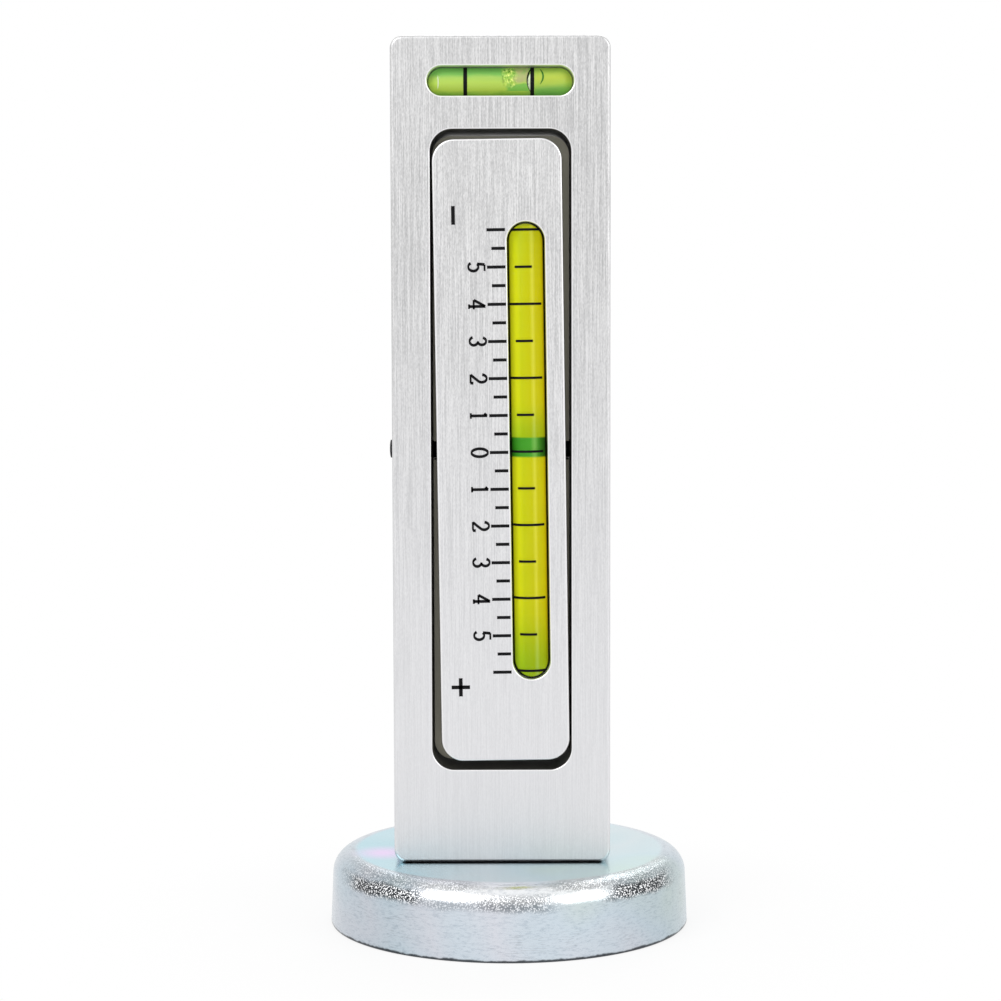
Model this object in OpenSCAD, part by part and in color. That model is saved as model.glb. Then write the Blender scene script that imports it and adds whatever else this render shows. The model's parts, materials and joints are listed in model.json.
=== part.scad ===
// Magnetic camber and caster gauge. A bar with a long vial on each face turns on a cross
// pin in a window milled through an aluminium tower, which stands on a magnetic base.
// Millimetres, +Z up, front towards -Y, origin at the centre of the magnetic face.

/* [Magnetic base] */
// Radius of the steel cup at its rim
base_r = 30; // [27:0.5:36]
// How much narrower the cup is below its shoulder
base_draft = 0.35; // [0:0.05:1]
// Height of the cup
base_h = 12.1; // [11:0.1:16]
// Radius of the cup's rounded shoulder
shoulder_r = 3.6; // [1:0.1:4.5]
// Thickness of the cup's wall
cup_wall = 2.4; // [1.6:0.1:3.4]
// Thickness of the cup's top
cup_top = 3.2; // [2.4:0.1:4]
// Width of the resin ring round the magnet
resin_w = 2.2; // [1:0.1:3.5]
// How far the magnet and the resin lie above the rim
magnet_recess = 0.3; // [0.1:0.1:1]
// Radius of the steel pole in the middle
pole_r = 9; // [7.5:0.5:10.5]
// Width of the resin ring between the pole and the magnet
pole_gap = 1.6; // [0.8:0.1:2.5]

/* [Tower] */
// Width of the tower
tower_w = 35.5; // [32:0.5:42]
// Depth of the tower
tower_d = 22.9; // [18:0.1:28]
// Height of the tower above the base
tower_h = 134.6; // [120:0.1:160]
// How far the tower stands to the right of the base's centre
tower_x = -1.1; // [-2:0.1:2]
// Corner radius of the tower, seen from the front
tower_corner_r = 2; // [1:0.1:4]
// Radius of the tower's eased edges
tower_edge_r = 0.5; // [0.2:0.1:0.9]

/* [Window] */
// Width of the window
window_w = 22.8; // [20:0.1:25]
// Height of the window
window_h = 104.3; // [90:0.1:106]
// Corner radius of the window
window_corner_r = 3.6; // [2:0.1:6]
// Height of the solid foot of the tower under the window
foot_h = 15.4; // [14.5:0.1:20]

/* [Swivel bar] */
// Width of the bar
bar_w = 21; // [18:0.1:22]
// Corner radius of the bar
bar_corner_r = 3.6; // [2:0.1:6]
// Radius of the bar's eased edges
bar_edge_r = 0.3; // [0.1:0.1:0.8]
// Smallest gap between the turning bar and the ends of the window
swing_clear = 0.2; // [0.1:0.05:1]
// Degrees that the bar leans to the left in the window
bar_lean = 0.72; // [0:0.02:0.9]
// Depth of the ribs that guide the bar's sides
rib_d = 11; // [6:0.5:14]
// Gap between a guide rib and the window's wall
rib_clear = 0.25; // [0.15:0.05:0.4]
// How far a guide rib reaches into the bar
rib_root = 1.5; // [1:0.1:2]

/* [Pivot] */
// Radius of the cross pin
pin_r = 1.5; // [1:0.1:2]
// How far the pin stands out of the tower's left side, up to its dome
pin_proud = 0.65; // [0.3:0.05:0.8]
// Height of the low dome on that end
pin_dome = 0.2; // [0.1:0.05:0.6]
// Metal left between the pin's other end and the tower's side
pin_cover = 1; // [0.5:0.1:2.5]
// Running clearance of the pin in its bushes
pin_clear = 0.05; // [0.02:0.01:0.1]
// Height of the notch in a guide rib beside the pin
notch_h = 3.4; // [3:0.1:6]
// Wall of a bush
bush_wall = 1.1; // [0.6:0.1:1.6]
// Length of a bush
bush_len = 2.6; // [1.5:0.1:2.8]

/* [Long vials] */
// Width of a vial's slot in the bar
slot_w = 6.1; // [5:0.1:7]
// Distance from each end of a vial's slot to the end of the bar
slot_end = 13.4; // [12:0.1:20]
// Distance of a slot's centre from the bar's centreline
slot_x = 4.47; // [4.3:0.01:5.5]
// Height of the scale's zero above the pin
zero_up = 0; // [-1:0.1:1]
// Depth of the vial's front below the bar's face
vial_sink = 1; // [0.4:0.1:2]
// Gap between a vial and the sides of its slot
vial_clear = 0.05; // [0.03:0.01:0.2]
// Wall of a vial's tube
vial_wall = 0.6; // [0.4:0.1:0.9]
// How far a vial runs on past each end of its slot
vial_past = 7.7; // [5:0.1:9]
// Length of a vial's stopper
stopper_len = 3; // [1.5:0.1:4]
// Thickness of the bar behind the slot, measured from its middle
slot_floor = 0.8; // [0.4:0.1:1.2]
// Radius of a long vial's bubble
bubble_r = 1.5; // [1:0.1:1.6]
// Length of a long vial's bubble
bubble_len = 7; // [4:0.1:12]

/* [Scale] */
// Height of one degree on the scale
degree_h = 6; // [4:0.1:9]
// Thickness of a line of the scale
tick_t = 0.5; // [0.2:0.05:0.8]
// Thickness of a line on a long vial
line_t = 0.4; // [0.2:0.05:0.6]
// Reach of a whole degree's line to the left of the bar's centreline
tick_left = 1.85; // [1:0.05:3]
// Reach of a whole degree's line to the right of it
tick_right = 1.15; // [0.5:0.05:1.2]
// Reach of a half degree's line to each side of it
half_tick = 1.1; // [0.5:0.05:1.2]
// Reach of a long line to the left of its vial's middle
long_mark_left = 2.8; // [1.5:0.1:2.9]
// Reach of a long line to the right of it
long_mark_right = 2.4; // [1.5:0.1:2.9]
// Reach of a short line to the left of its vial's middle
short_mark_left = 1.85; // [1:0.05:2.5]
// Reach of a short line to the right of it
short_mark_right = 0.95; // [0.5:0.05:2]

/* [Cross vial] */
// Length of the cross vial's slot
cross_len = 23.65; // [16:0.05:26]
// Height of the cross vial's slot
cross_w = 4.76; // [4.2:0.02:6]
// Height of the cross vial above the top of the window
cross_up = 7.7; // [5:0.1:10]
// Depth of the cross vial's slot
cross_depth = 6.4; // [6:0.1:9]
// Depth of the cross vial's front below the tower's face
cross_sink = 0.8; // [0.4:0.1:1.5]
// Gap between the cross vial and its slot
cross_clear = 0.1; // [0.05:0.01:0.2]
// Wall of the cross vial's tube
cross_wall = 0.5; // [0.4:0.05:0.7]
// Thickness of the two lines on the cross vial
cross_line_t = 0.62; // [0.3:0.01:0.8]
// Distance of each of the two lines from the middle of the pair
cross_line_x = 5.4; // [4:0.1:7]
// How far the pair's middle lies to the left of the cross vial's
cross_line_left = 0.25; // [0:0.05:0.6]
// Radius of the cross vial's bubble
cross_bubble_r = 1.1; // [0.7:0.1:1.2]
// Length of the cross vial's bubble
cross_bubble_len = 7.2; // [3:0.1:9]
// Distance of the resting bubble from the middle of the cross vial
cross_bubble_x = 3.3; // [-3:0.1:3.4]

/* [Fasteners] */
// Radius of the screw that holds the tower on the base
screw_r = 3; // [2.5:0.1:3.5]
// Length of that screw inside the tower
screw_in = 10; // [6:0.5:11]
// Radius of its head
head_r = 5; // [4.2:0.1:5.5]
// Height of its head
head_h = 3.6; // [3:0.1:4]
// Depth of the head below the magnetic face
head_sink = 0.5; // [0.2:0.1:1]
// Width across the flats of its hexagon socket
socket_flats = 4; // [3:0.5:5]
// Thickness of the lock washer
washer_t = 1.2; // [0.8:0.1:1.5]
// Radius of a dowel pin
dowel_r = 2; // [1.5:0.1:2.4]
// Distance of the dowel pins from the screw
dowel_x = 11; // [9.5:0.1:12.5]
// Length of a dowel pin inside the tower
dowel_in = 6; // [4:0.5:9]
// Radius of the set screw that holds the cross pin
set_screw_r = 1.5; // [1:0.1:2]
// Length of the set screw
set_screw_len = 5; // [4:0.5:8]

/* [Hidden] */
$fn = 96;

eps = 0.01;      // runs a cut past the face that it opens
fit = 0.02;      // gap of a pin or screw in the hole that holds it
film = 0.04;     // thickness of a printed line
side_clear = 0.3; // gap round a bubble
socket_depth_share = 0.5; // share of a head's height that its socket takes

// Magnetic base
cup_r = base_r - base_draft;
cavity_r = cup_r - cup_wall;
cavity_h = base_h - cup_top;
magnet_r = cavity_r - resin_w;
magnet_hole_r = pole_r + pole_gap;
head_top = head_sink + head_h;
counterbore_h = head_top + washer_t;
counterbore_r = head_r + 0.4;

// Tower and window
window_low = base_h + foot_h;
pivot_z = window_low + window_h / 2;
column_w = (tower_w - window_w) / 2;

// Swivel bar: its half length lets its far edges pass the ends of the window
bar_d = tower_d;
end_shift = (bar_w / 2 - bar_corner_r) * sin(bar_lean);
swing_r = window_h / 2 - swing_clear - bar_edge_r;
bar_half = sqrt(pow(swing_r, 2) - pow(bar_d / 2 - bar_edge_r, 2)) + bar_edge_r - end_shift;
rib_out = window_w / 2 - rib_clear;
rib_w = rib_out - bar_w / 2 + rib_root;
rib_end = window_h / 2 - window_corner_r - 2 * rib_clear;
pin_bore_r = pin_r + pin_clear;
bush_r = pin_bore_r + bush_wall;

// Long vials, measured in the bar's own frame from the scale's zero
slot_len = 2 * (bar_half - slot_end);
scale_max = floor((slot_len / 2 - max(line_t, tick_t)) / degree_h);
vial_r = slot_w / 2 - vial_clear;
vial_in_r = vial_r - vial_wall;
vial_y = -bar_d / 2 + vial_sink + vial_r;
vial_half = slot_len / 2 + vial_past;
vial_bore_r = vial_r + fit;
bore_low = zero_up - vial_half - side_clear;
chamber_half = vial_half - stopper_len;
channel_r = bubble_r + side_clear;
bubble_z = chamber_half - side_clear - bubble_len / 2;

// Cross vial
cross_z = window_low + window_h + cross_up;
cross_r = cross_w / 2 - cross_clear;
cross_in_r = cross_r - cross_wall;
cross_y = -tower_d / 2 + cross_sink + cross_r;
cross_half = (cross_len - cross_w) / 2;

// ---- shapes that repeat ----

module rounded_rect(w, h, r) {
    square([w - 2 * r, h], center = true);
    square([w, h - 2 * r], center = true);
    for (x = [-1, 1], y = [-1, 1])
        translate([x * (w / 2 - r), y * (h / 2 - r)])
            circle(r);
}

// A rounded rectangle seen from the front, run along Y
module plate(w, d, h, r) {
    rotate([90, 0, 0])
        linear_extrude(d, center = true)
            rounded_rect(w, h, r);
}

// A block with front corners of radius r and all its other edges eased
module eased_block(w, d, h, r, edge) {
    intersection() {
        plate(w, d, h, r);
        linear_extrude(h, center = true)
            rounded_rect(w, d, edge);
        rotate([90, 0, 90])
            linear_extrude(w, center = true)
                rounded_rect(d, h, edge);
    }
}

// A slot with round ends along Z, cut from y = low to y = high
module slot_z(w, len, low, high) {
    translate([0, high, 0])
        rotate([90, 0, 0])
            linear_extrude(high - low) {
                square([w, len - w], center = true);
                for (end = [-1, 1])
                    translate([0, end * (len - w) / 2])
                        circle(w / 2);
            }
}

// A rod along X with its middle at the origin
module rod_x(r, len) {
    rotate([0, 90, 0])
        cylinder(r = r, h = len, center = true);
}

// A rod with round ends, half the length between the ends' centres each way along Z
module capsule(r, half) {
    cylinder(r = r, h = 2 * half, center = true);
    for (z = [-half, half])
        translate([0, 0, z])
            sphere(r);
}

// A hexagon socket from z = 0 upwards
module socket(flats, depth) {
    translate([0, 0, -eps])
        cylinder(r = flats / sqrt(3), h = depth + eps, $fn = 6);
}

// ---- where things stand ----

module at_tower() {
    translate([tower_x, 0, 0])
        children();
}

module at_pivot() {
    translate([tower_x, 0, pivot_z])
        children();
}

// The bar's own frame: origin on the pin, leaning to the left
module at_bar() {
    at_pivot()
        rotate([0, -bar_lean, 0])
            children();
}

// A face of the bar: 0 is the front, 180 the rear. Its origin is the scale's zero.
module at_face(turn) {
    at_bar()
        rotate([0, 0, turn])
            translate([0, 0, zero_up])
                children();
}

module at_vial(turn) {
    at_face(turn)
        translate([slot_x, vial_y, 0])
            children();
}

module at_cross_vial() {
    at_tower()
        translate([0, cross_y, cross_z])
            rotate([0, 90, 0])
                children();
}

// ---- magnetic base ----

module magnet_cup() {
    color("lightsteelblue")
        difference() {
            rotate_extrude() {
                polygon([[0, 0], [base_r, 0], [cup_r, base_h - shoulder_r], [0, base_h - shoulder_r]]);
                translate([0, base_h - shoulder_r - eps])
                    square([cup_r - shoulder_r, shoulder_r + eps]);
                intersection() {
                    translate([cup_r - shoulder_r, base_h - shoulder_r])
                        circle(shoulder_r);
                    translate([0, base_h - shoulder_r - eps])
                        square([base_r, shoulder_r + 1]);
                }
            }
            translate([0, 0, -1])
                cylinder(r = cavity_r, h = cavity_h + 1);
            cylinder(r = screw_r + fit, h = base_h + 1);
            dowel_holes(cavity_h - 1);
        }
}

module ring_magnet() {
    color("dimgray")
        ring(magnet_r - fit, magnet_hole_r + fit, magnet_recess, cavity_h);
}

module centre_pole() {
    color("slategray")
        difference() {
            cylinder(r = pole_r, h = cavity_h);
            translate([0, 0, -eps])
                cylinder(r = counterbore_r, h = counterbore_h + eps);
            cylinder(r = screw_r + fit, h = cavity_h + 1);
        }
}

module potting_resin() {
    color("black") {
        ring(cavity_r - fit, magnet_r, magnet_recess, cavity_h);
        ring(magnet_hole_r, pole_r + fit, magnet_recess, cavity_h);
    }
}

module ring(outer, inner, low, high) {
    translate([0, 0, low])
        difference() {
            cylinder(r = outer, h = high - low);
            translate([0, 0, -1])
                cylinder(r = inner, h = high - low + 2);
        }
}

module base_screw() {
    color("silver")
        difference() {
            union() {
                translate([0, 0, head_sink])
                    cylinder(r = head_r, h = head_h);
                translate([0, 0, head_top - eps])
                    cylinder(r = screw_r, h = base_h + screw_in - head_top + eps);
            }
            translate([0, 0, head_sink])
                socket(socket_flats, head_h * socket_depth_share);
        }
}

module lock_washer() {
    color("silver")
        ring(head_r, screw_r + fit, head_top, counterbore_h);
}

module dowel_holes(low) {
    for (side = [-1, 1])
        translate([side * dowel_x, 0, low])
            cylinder(r = dowel_r + fit, h = base_h + dowel_in + fit - low);
}

module dowel_pins() {
    color("silver")
        for (side = [-1, 1])
            translate([side * dowel_x, 0, cavity_h + fit])
                cylinder(r = dowel_r, h = cup_top + dowel_in - fit);
}

// ---- tower ----

module frame() {
    color("gainsboro")
        difference() {
            at_tower()
                translate([0, 0, base_h + tower_h / 2])
                    eased_block(tower_w, tower_d, tower_h, tower_corner_r, tower_edge_r);
            at_pivot()
                plate(window_w, tower_d + 2, window_h, window_corner_r);
            at_tower()
                translate([0, 0, cross_z])
                    rotate([0, 90, 0])
                        slot_z(cross_w, cross_len, -tower_d / 2 - 1, -tower_d / 2 + cross_depth);
            pin_place(fit, 1);
            set_screw_place(set_screw_r + fit, tower_d);
            translate([0, 0, base_h - 1])
                cylinder(r = screw_r + fit, h = screw_in + 2);
            dowel_holes(base_h - 1);
        }
}

// The cross pin's rod, grown by a gap all round and past its domed end
module pin_place(gap, past) {
    low = -tower_w / 2 - past;
    high = tower_w / 2 - pin_cover + gap;
    at_pivot()
        translate([(low + high) / 2, 0, 0])
            rod_x(pin_r + gap, high - low);
}

module pivot_pin() {
    dome_r = (pow(pin_r, 2) + pow(pin_dome, 2)) / (2 * pin_dome);
    color("silver") {
        pin_place(0, pin_proud);
        at_pivot()
            translate([-tower_w / 2 - pin_proud, 0, 0])
                intersection() {
                    translate([dome_r - pin_dome, 0, 0])
                        sphere(dome_r);
                    rod_x(pin_r, 2 * pin_dome + 2 * eps);
                }
    }
}

// A rod from just behind the cross pin out of the rear of the left column
module set_screw_place(r, len) {
    at_pivot()
        translate([-(window_w + column_w) / 2, pin_r + fit, 0])
            rotate([-90, 0, 0])
                cylinder(r = r, h = len);
}

module pivot_set_screw() {
    color("dimgray")
        difference() {
            set_screw_place(set_screw_r, set_screw_len);
            at_pivot()
                translate([-(window_w + column_w) / 2, pin_r + fit + set_screw_len, 0])
                    rotate([90, 0, 0])
                        socket(set_screw_r, set_screw_len * socket_depth_share);
        }
}

// ---- cross vial ----

module cross_vial_tube() {
    color("palegreen", 0.5)
        at_cross_vial()
            difference() {
                capsule(cross_r, cross_half);
                capsule(cross_in_r, cross_half);
            }
}

module cross_vial_liquid() {
    color("yellowgreen", 0.7)
        at_cross_vial()
            difference() {
                capsule(cross_in_r - fit, cross_half);
                capsule(cross_bubble_r + side_clear, cross_half);
            }
}

module cross_vial_marks() {
    color("black")
        at_cross_vial()
            for (side = [-1, 1])
                translate([0, 0, side * cross_line_x - cross_line_left])
                    front_arc(cross_r, cross_line_t, -cross_r, cross_r);
}

// A printed line on the front of a tube that runs along Z, from x = low to x = high
module front_arc(r, t, low, high) {
    intersection() {
        difference() {
            cylinder(r = r + film, h = t, center = true);
            cylinder(r = r, h = t + 1, center = true);
        }
        translate([low, -r - 1, -t])
            cube([high - low, r + 1, 2 * t]);
    }
}

module cross_vial_bedding() {
    color("white")
        difference() {
            at_tower()
                translate([0, 0, cross_z])
                    rotate([0, 90, 0])
                        slot_z(cross_w - 2 * fit, cross_len - 2 * fit, cross_y, -tower_d / 2 + cross_depth);
            at_cross_vial()
                capsule(cross_r + fit, cross_half);
        }
}

module cross_bubble() {
    color("honeydew")
        at_cross_vial()
            translate([0, 0, cross_bubble_x])
                capsule(cross_bubble_r, cross_bubble_len / 2 - cross_bubble_r);
}

// ---- swivel bar ----

module swivel_bar() {
    color("gainsboro")
        difference() {
            union() {
                at_bar()
                    eased_block(bar_w, bar_d, 2 * bar_half, bar_corner_r, bar_edge_r);
                for (side = [-1, 1], end = [-1, 1])
                    at_pivot()
                        translate([side * (rib_out - rib_w / 2), 0, end * (rib_end + notch_h / 2) / 2])
                            cube([rib_w, rib_d, rib_end - notch_h / 2], center = true);
            }
            at_pivot()
                rod_x(pin_bore_r, bar_w + 2);
            for (side = [-1, 1])
                bush_place(side, bush_r + fit, 1);
            for (turn = [0, 180]) {
                at_face(turn)
                    translate([slot_x, 0, 0])
                        slot_z(slot_w, slot_len, -bar_d / 2 - 1, -slot_floor);
                at_bar()
                    rotate([0, 0, turn])
                        translate([slot_x, vial_y, bore_low])
                            cylinder(r = vial_bore_r, h = bar_half + 1 - bore_low);
            }
        }
}

// A rod in the side of the bar, where a bush sits
module bush_place(side, r, past) {
    at_pivot()
        translate([side * (bar_w / 2 - bush_len / 2 + past / 2), 0, 0])
            rod_x(r, bush_len + past);
}

module bar_bushes() {
    color("darkgoldenrod")
        difference() {
            for (side = [-1, 1])
                bush_place(side, bush_r, 0);
            at_pivot()
                rod_x(pin_bore_r, bar_w + 2);
        }
}

module bar_end_plugs() {
    low = zero_up + vial_half + fit;
    color("gray")
        for (turn = [0, 180])
            at_bar()
                rotate([0, 0, turn])
                    translate([slot_x, vial_y, low])
                        cylinder(r = vial_bore_r - fit / 2, h = bar_half - bar_edge_r - low);
}

// ---- long vials, one on each face of the bar ----

module long_tube(turn) {
    at_vial(turn)
        difference() {
            cylinder(r = vial_r, h = 2 * vial_half, center = true);
            cylinder(r = vial_in_r, h = 2 * vial_half + 2, center = true);
        }
}

module long_liquid(turn) {
    at_vial(turn)
        difference() {
            cylinder(r = vial_in_r - fit, h = 2 * chamber_half, center = true);
            cylinder(r = channel_r, h = 2 * chamber_half - 2 * fit, center = true);
        }
}

module long_stoppers(turn) {
    at_vial(turn)
        for (side = [-1, 1])
            translate([0, 0, side * (vial_half - stopper_len / 2 + fit / 2)])
                cylinder(r = vial_in_r - fit, h = stopper_len - fit, center = true);
}

module long_marks(turn) {
    at_vial(turn)
        for (i = [-scale_max:scale_max]) {
            is_long = i % 2 == 0;
            translate([0, 0, i * degree_h])
                front_arc(
                    vial_r, line_t,
                    is_long ? -long_mark_left : -short_mark_left,
                    is_long ? long_mark_right : short_mark_right
                );
        }
}

module long_bedding(turn) {
    difference() {
        at_face(turn)
            translate([slot_x, 0, 0])
                slot_z(slot_w - 2 * fit, slot_len - 2 * fit, vial_y, -slot_floor);
        at_vial(turn)
            cylinder(r = vial_r + fit, h = slot_len + 1, center = true);
        at_pivot()
            cube([bar_w, bar_d, notch_h], center = true);
    }
}

module long_bubble(turn) {
    at_vial(turn)
        translate([0, 0, bubble_z])
            capsule(bubble_r, bubble_len / 2 - bubble_r);
}

// Ticks of the scale printed on one face of the bar
module printed_scale(turn) {
    at_face(turn)
        for (i = [-2 * scale_max:2 * scale_max]) {
            is_whole = i % 2 == 0;
            left = is_whole ? tick_left : half_tick;
            right = is_whole ? tick_right : half_tick;
            translate([-left, -bar_d / 2 - film, i * degree_h / 2 - tick_t / 2])
                cube([left + right, film, tick_t]);
        }
}

module camber_scale() color("black") printed_scale(0);
module caster_scale() color("black") printed_scale(180);
module camber_vial_tube() color("palegreen", 0.5) long_tube(0);
module caster_vial_tube() color("palegreen", 0.5) long_tube(180);
module camber_vial_liquid() color("yellowgreen", 0.7) long_liquid(0);
module caster_vial_liquid() color("yellowgreen", 0.7) long_liquid(180);
module camber_vial_marks() color("black") long_marks(0);
module caster_vial_marks() color("black") long_marks(180);
module camber_vial_stoppers() color("olive") long_stoppers(0);
module caster_vial_stoppers() color("olive") long_stoppers(180);
module camber_vial_bedding() color("white") long_bedding(0);
module caster_vial_bedding() color("white") long_bedding(180);
module camber_bubble() color("honeydew") long_bubble(0);
module caster_bubble() color("honeydew") long_bubble(180);

magnet_cup();
ring_magnet();
centre_pole();
potting_resin();
base_screw();
lock_washer();
dowel_pins();
frame();
pivot_pin();
pivot_set_screw();
cross_vial_tube();
cross_vial_liquid();
cross_vial_marks();
cross_vial_bedding();
cross_bubble();
swivel_bar();
bar_bushes();
bar_end_plugs();
camber_scale();
caster_scale();
camber_vial_tube();
camber_vial_liquid();
camber_vial_marks();
camber_vial_stoppers();
camber_vial_bedding();
camber_bubble();
caster_vial_tube();
caster_vial_liquid();
caster_vial_marks();
caster_vial_stoppers();
caster_vial_bedding();
caster_bubble();
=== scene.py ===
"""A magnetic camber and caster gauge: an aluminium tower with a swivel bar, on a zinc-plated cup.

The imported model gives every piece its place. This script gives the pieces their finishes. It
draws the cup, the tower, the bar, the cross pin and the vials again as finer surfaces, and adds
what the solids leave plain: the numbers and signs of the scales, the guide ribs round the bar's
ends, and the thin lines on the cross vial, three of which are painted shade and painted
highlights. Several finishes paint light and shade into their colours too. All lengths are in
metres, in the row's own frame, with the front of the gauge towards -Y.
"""

from __future__ import annotations

import json
import logging
import math
from dataclasses import dataclass
from enum import Enum

import bmesh  # noqa: E402
import bpy  # noqa: E402
import numpy as np  # noqa: E402
from mathutils import Matrix, Vector  # noqa: E402
from mathutils.geometry import tessellate_polygon  # noqa: E402

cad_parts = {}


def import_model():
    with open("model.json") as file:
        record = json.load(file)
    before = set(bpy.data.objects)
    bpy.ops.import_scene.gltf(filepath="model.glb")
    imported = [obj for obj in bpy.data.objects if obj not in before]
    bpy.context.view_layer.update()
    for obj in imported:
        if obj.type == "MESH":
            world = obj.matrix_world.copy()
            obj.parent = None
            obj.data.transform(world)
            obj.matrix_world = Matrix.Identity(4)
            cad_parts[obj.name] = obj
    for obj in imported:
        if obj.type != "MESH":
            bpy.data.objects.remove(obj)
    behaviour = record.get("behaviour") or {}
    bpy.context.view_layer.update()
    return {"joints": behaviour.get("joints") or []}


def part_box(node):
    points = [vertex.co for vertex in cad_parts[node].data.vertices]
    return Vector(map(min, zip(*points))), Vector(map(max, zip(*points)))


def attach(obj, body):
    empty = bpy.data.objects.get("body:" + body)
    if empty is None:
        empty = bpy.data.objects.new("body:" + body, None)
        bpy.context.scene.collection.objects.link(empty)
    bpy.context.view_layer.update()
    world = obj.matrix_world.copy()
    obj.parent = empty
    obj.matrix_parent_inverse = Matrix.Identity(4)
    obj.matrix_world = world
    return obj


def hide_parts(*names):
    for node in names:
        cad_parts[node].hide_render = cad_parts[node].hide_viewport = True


LOG = logging.getLogger("gauge")
MM = 0.001
PICTURE_PX = 1001
SENSOR_MM = 36.0
PRINT_FILM = 0.05 * MM
HOLD = 0.03 * MM
BLOCK_CREASE = 28.0
ROUND_CREASE = 40.0
ROUND_TURNS = 96

Colour = tuple[float, float, float]
Place = tuple[float, float, float]
Point = tuple[float, float]
Surface = tuple[np.ndarray, list[list[int]]]
Piece = bpy.types.Object
Socket = bpy.types.NodeSocket
Material = bpy.types.Material


class Face(Enum):
    """The two faces of the swivel bar, by the sign that turns a point half round the bar."""

    CAMBER = 1
    CASTER = -1


# ---------------------------------------------------------------------------------------------
# Surfaces
# ---------------------------------------------------------------------------------------------


def mesh_piece(name: str, points: np.ndarray, faces: list[list[int]], smooth_deg: float | None) -> Piece:
    """Makes an object from points and faces.

    Args:
        name: The piece's name.
        points: An array of n by 3 coordinates.
        faces: The indices of each face's corners, anticlockwise from outside.
        smooth_deg: Edges flatter than this angle are smoothed. None keeps every face flat.

    Returns:
        The new object, linked to the scene, with its origin at the row's origin.
    """
    mesh = bpy.data.meshes.new(name)
    mesh.from_pydata(points.tolist(), [], faces)
    weld(mesh)
    mesh.update()
    if smooth_deg is not None:
        mesh.shade_smooth()
        mesh.set_sharp_from_angle(angle=math.radians(smooth_deg))
    piece = bpy.data.objects.new(name, mesh)
    bpy.context.scene.collection.objects.link(piece)
    return piece


def joined(parts: list[Surface]) -> Surface:
    """Puts several surfaces into one.

    Args:
        parts: The surfaces.

    Returns:
        All their points and faces, each surface with points of its own.
    """
    points, faces, start = [], [], 0
    for part_points, part_faces in parts:
        points.append(part_points)
        faces += [[start + corner for corner in face] for face in part_faces]
        start += len(part_points)
    return np.concatenate(points), faces


def flipped(faces: list[list[int]]) -> list[list[int]]:
    """Turns every face to look the other way."""
    return [face[::-1] for face in faces]


def weld(mesh: bpy.types.Mesh) -> None:
    """Merges the corners that neighbouring surfaces share, within a thousandth of a millimetre.

    Args:
        mesh: The mesh, which is changed.
    """
    merge_gap = 1e-6
    work = bmesh.new()
    work.from_mesh(mesh)
    bmesh.ops.remove_doubles(work, verts=work.verts, dist=merge_gap)
    work.to_mesh(mesh)
    work.free()


def ring_faces(rows: int, columns: int) -> list[list[int]]:
    """Joins a grid of points whose columns close on themselves.

    Args:
        rows: The number of rings.
        columns: The number of points in a ring.

    Returns:
        The quads between neighbouring rings.
    """
    row, column = np.mgrid[0 : rows - 1, 0:columns]
    after = (column + 1) % columns
    low, high = row * columns, (row + 1) * columns
    quads = np.stack([low + column, low + after, high + after, high + column], axis=-1)
    return quads.reshape(-1, 4).tolist()


def lathe(profile: np.ndarray, turns: int, capped: bool = True) -> Surface:
    """Turns a profile about the Z axis.

    A point (r, z) of the profile becomes (r cos a, r sin a, z) for every angle a.

    Args:
        profile: An array of n by 2, radius and height, from the bottom of the axis upwards.
        turns: The number of steps round the axis.
        capped: Whether both ends of the profile lie near the axis and get a face each. A hollow
            shape's profile ends where it starts and gets none.

    Returns:
        The points and the faces.
    """
    angle = np.linspace(0.0, 2.0 * np.pi, turns, endpoint=False)
    radius, height = profile[:, :1], profile[:, 1:]
    points = np.stack(
        [radius * np.cos(angle), radius * np.sin(angle), np.repeat(height, turns, axis=1)],
        axis=-1,
    ).reshape(-1, 3)
    rows = len(profile)
    faces = ring_faces(rows, turns)
    if capped:
        faces.append(list(range(turns))[::-1])
        faces.append(list(range((rows - 1) * turns, rows * turns)))
    return points, faces


def arc(centre: Point, radii: Point, start: float, stop: float, steps: int) -> np.ndarray:
    """Points on an ellipse: centre + (rx cos a, ry sin a), for a from start to stop degrees.

    Args:
        centre: The middle of the ellipse.
        radii: Its two radii.
        start: The first angle, in degrees.
        stop: The last angle, in degrees.
        steps: The number of points.

    Returns:
        An array of steps by 2.
    """
    angle = np.radians(np.linspace(start, stop, steps))
    return np.stack([centre[0] + radii[0] * np.cos(angle), centre[1] + radii[1] * np.sin(angle)], axis=1)


def loop(width: float, height: float, radius: float, steps: int = 16) -> np.ndarray:
    """The outline of a rounded rectangle, anticlockwise from the lower right corner.

    Each corner is a quarter circle, and one more point lies close to it on each straight side,
    so that the side stays flat when the corner is smoothed. The number of points depends on
    steps alone, so loops of two sizes can be joined by a grid.

    Args:
        width: The rectangle's width.
        height: Its height.
        radius: The radius of its corners.
        steps: The number of points in a corner.

    Returns:
        An array of 4 (steps + 2) by 2.
    """
    straight = (width / 2.0 - radius, height / 2.0 - radius)
    near = [min(HOLD, 0.4 * max(reach, 0.0)) for reach in straight]
    parts = []
    for turn, (side_x, side_y) in enumerate([(1.0, -1.0), (1.0, 1.0), (-1.0, 1.0), (-1.0, -1.0)]):
        start = 90.0 * (turn - 1)
        middle = (side_x * straight[0], side_y * straight[1])
        corner = arc(middle, (radius, radius), start, start + 90.0, steps)
        first, last = math.radians(start), math.radians(start + 90.0)
        before = corner[:1] - near[turn % 2] * np.array([[-math.sin(first), math.cos(first)]])
        after = corner[-1:] + near[(turn + 1) % 2] * np.array([[-math.sin(last), math.cos(last)]])
        parts += [before, corner, after]
    return np.concatenate(parts)


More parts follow.
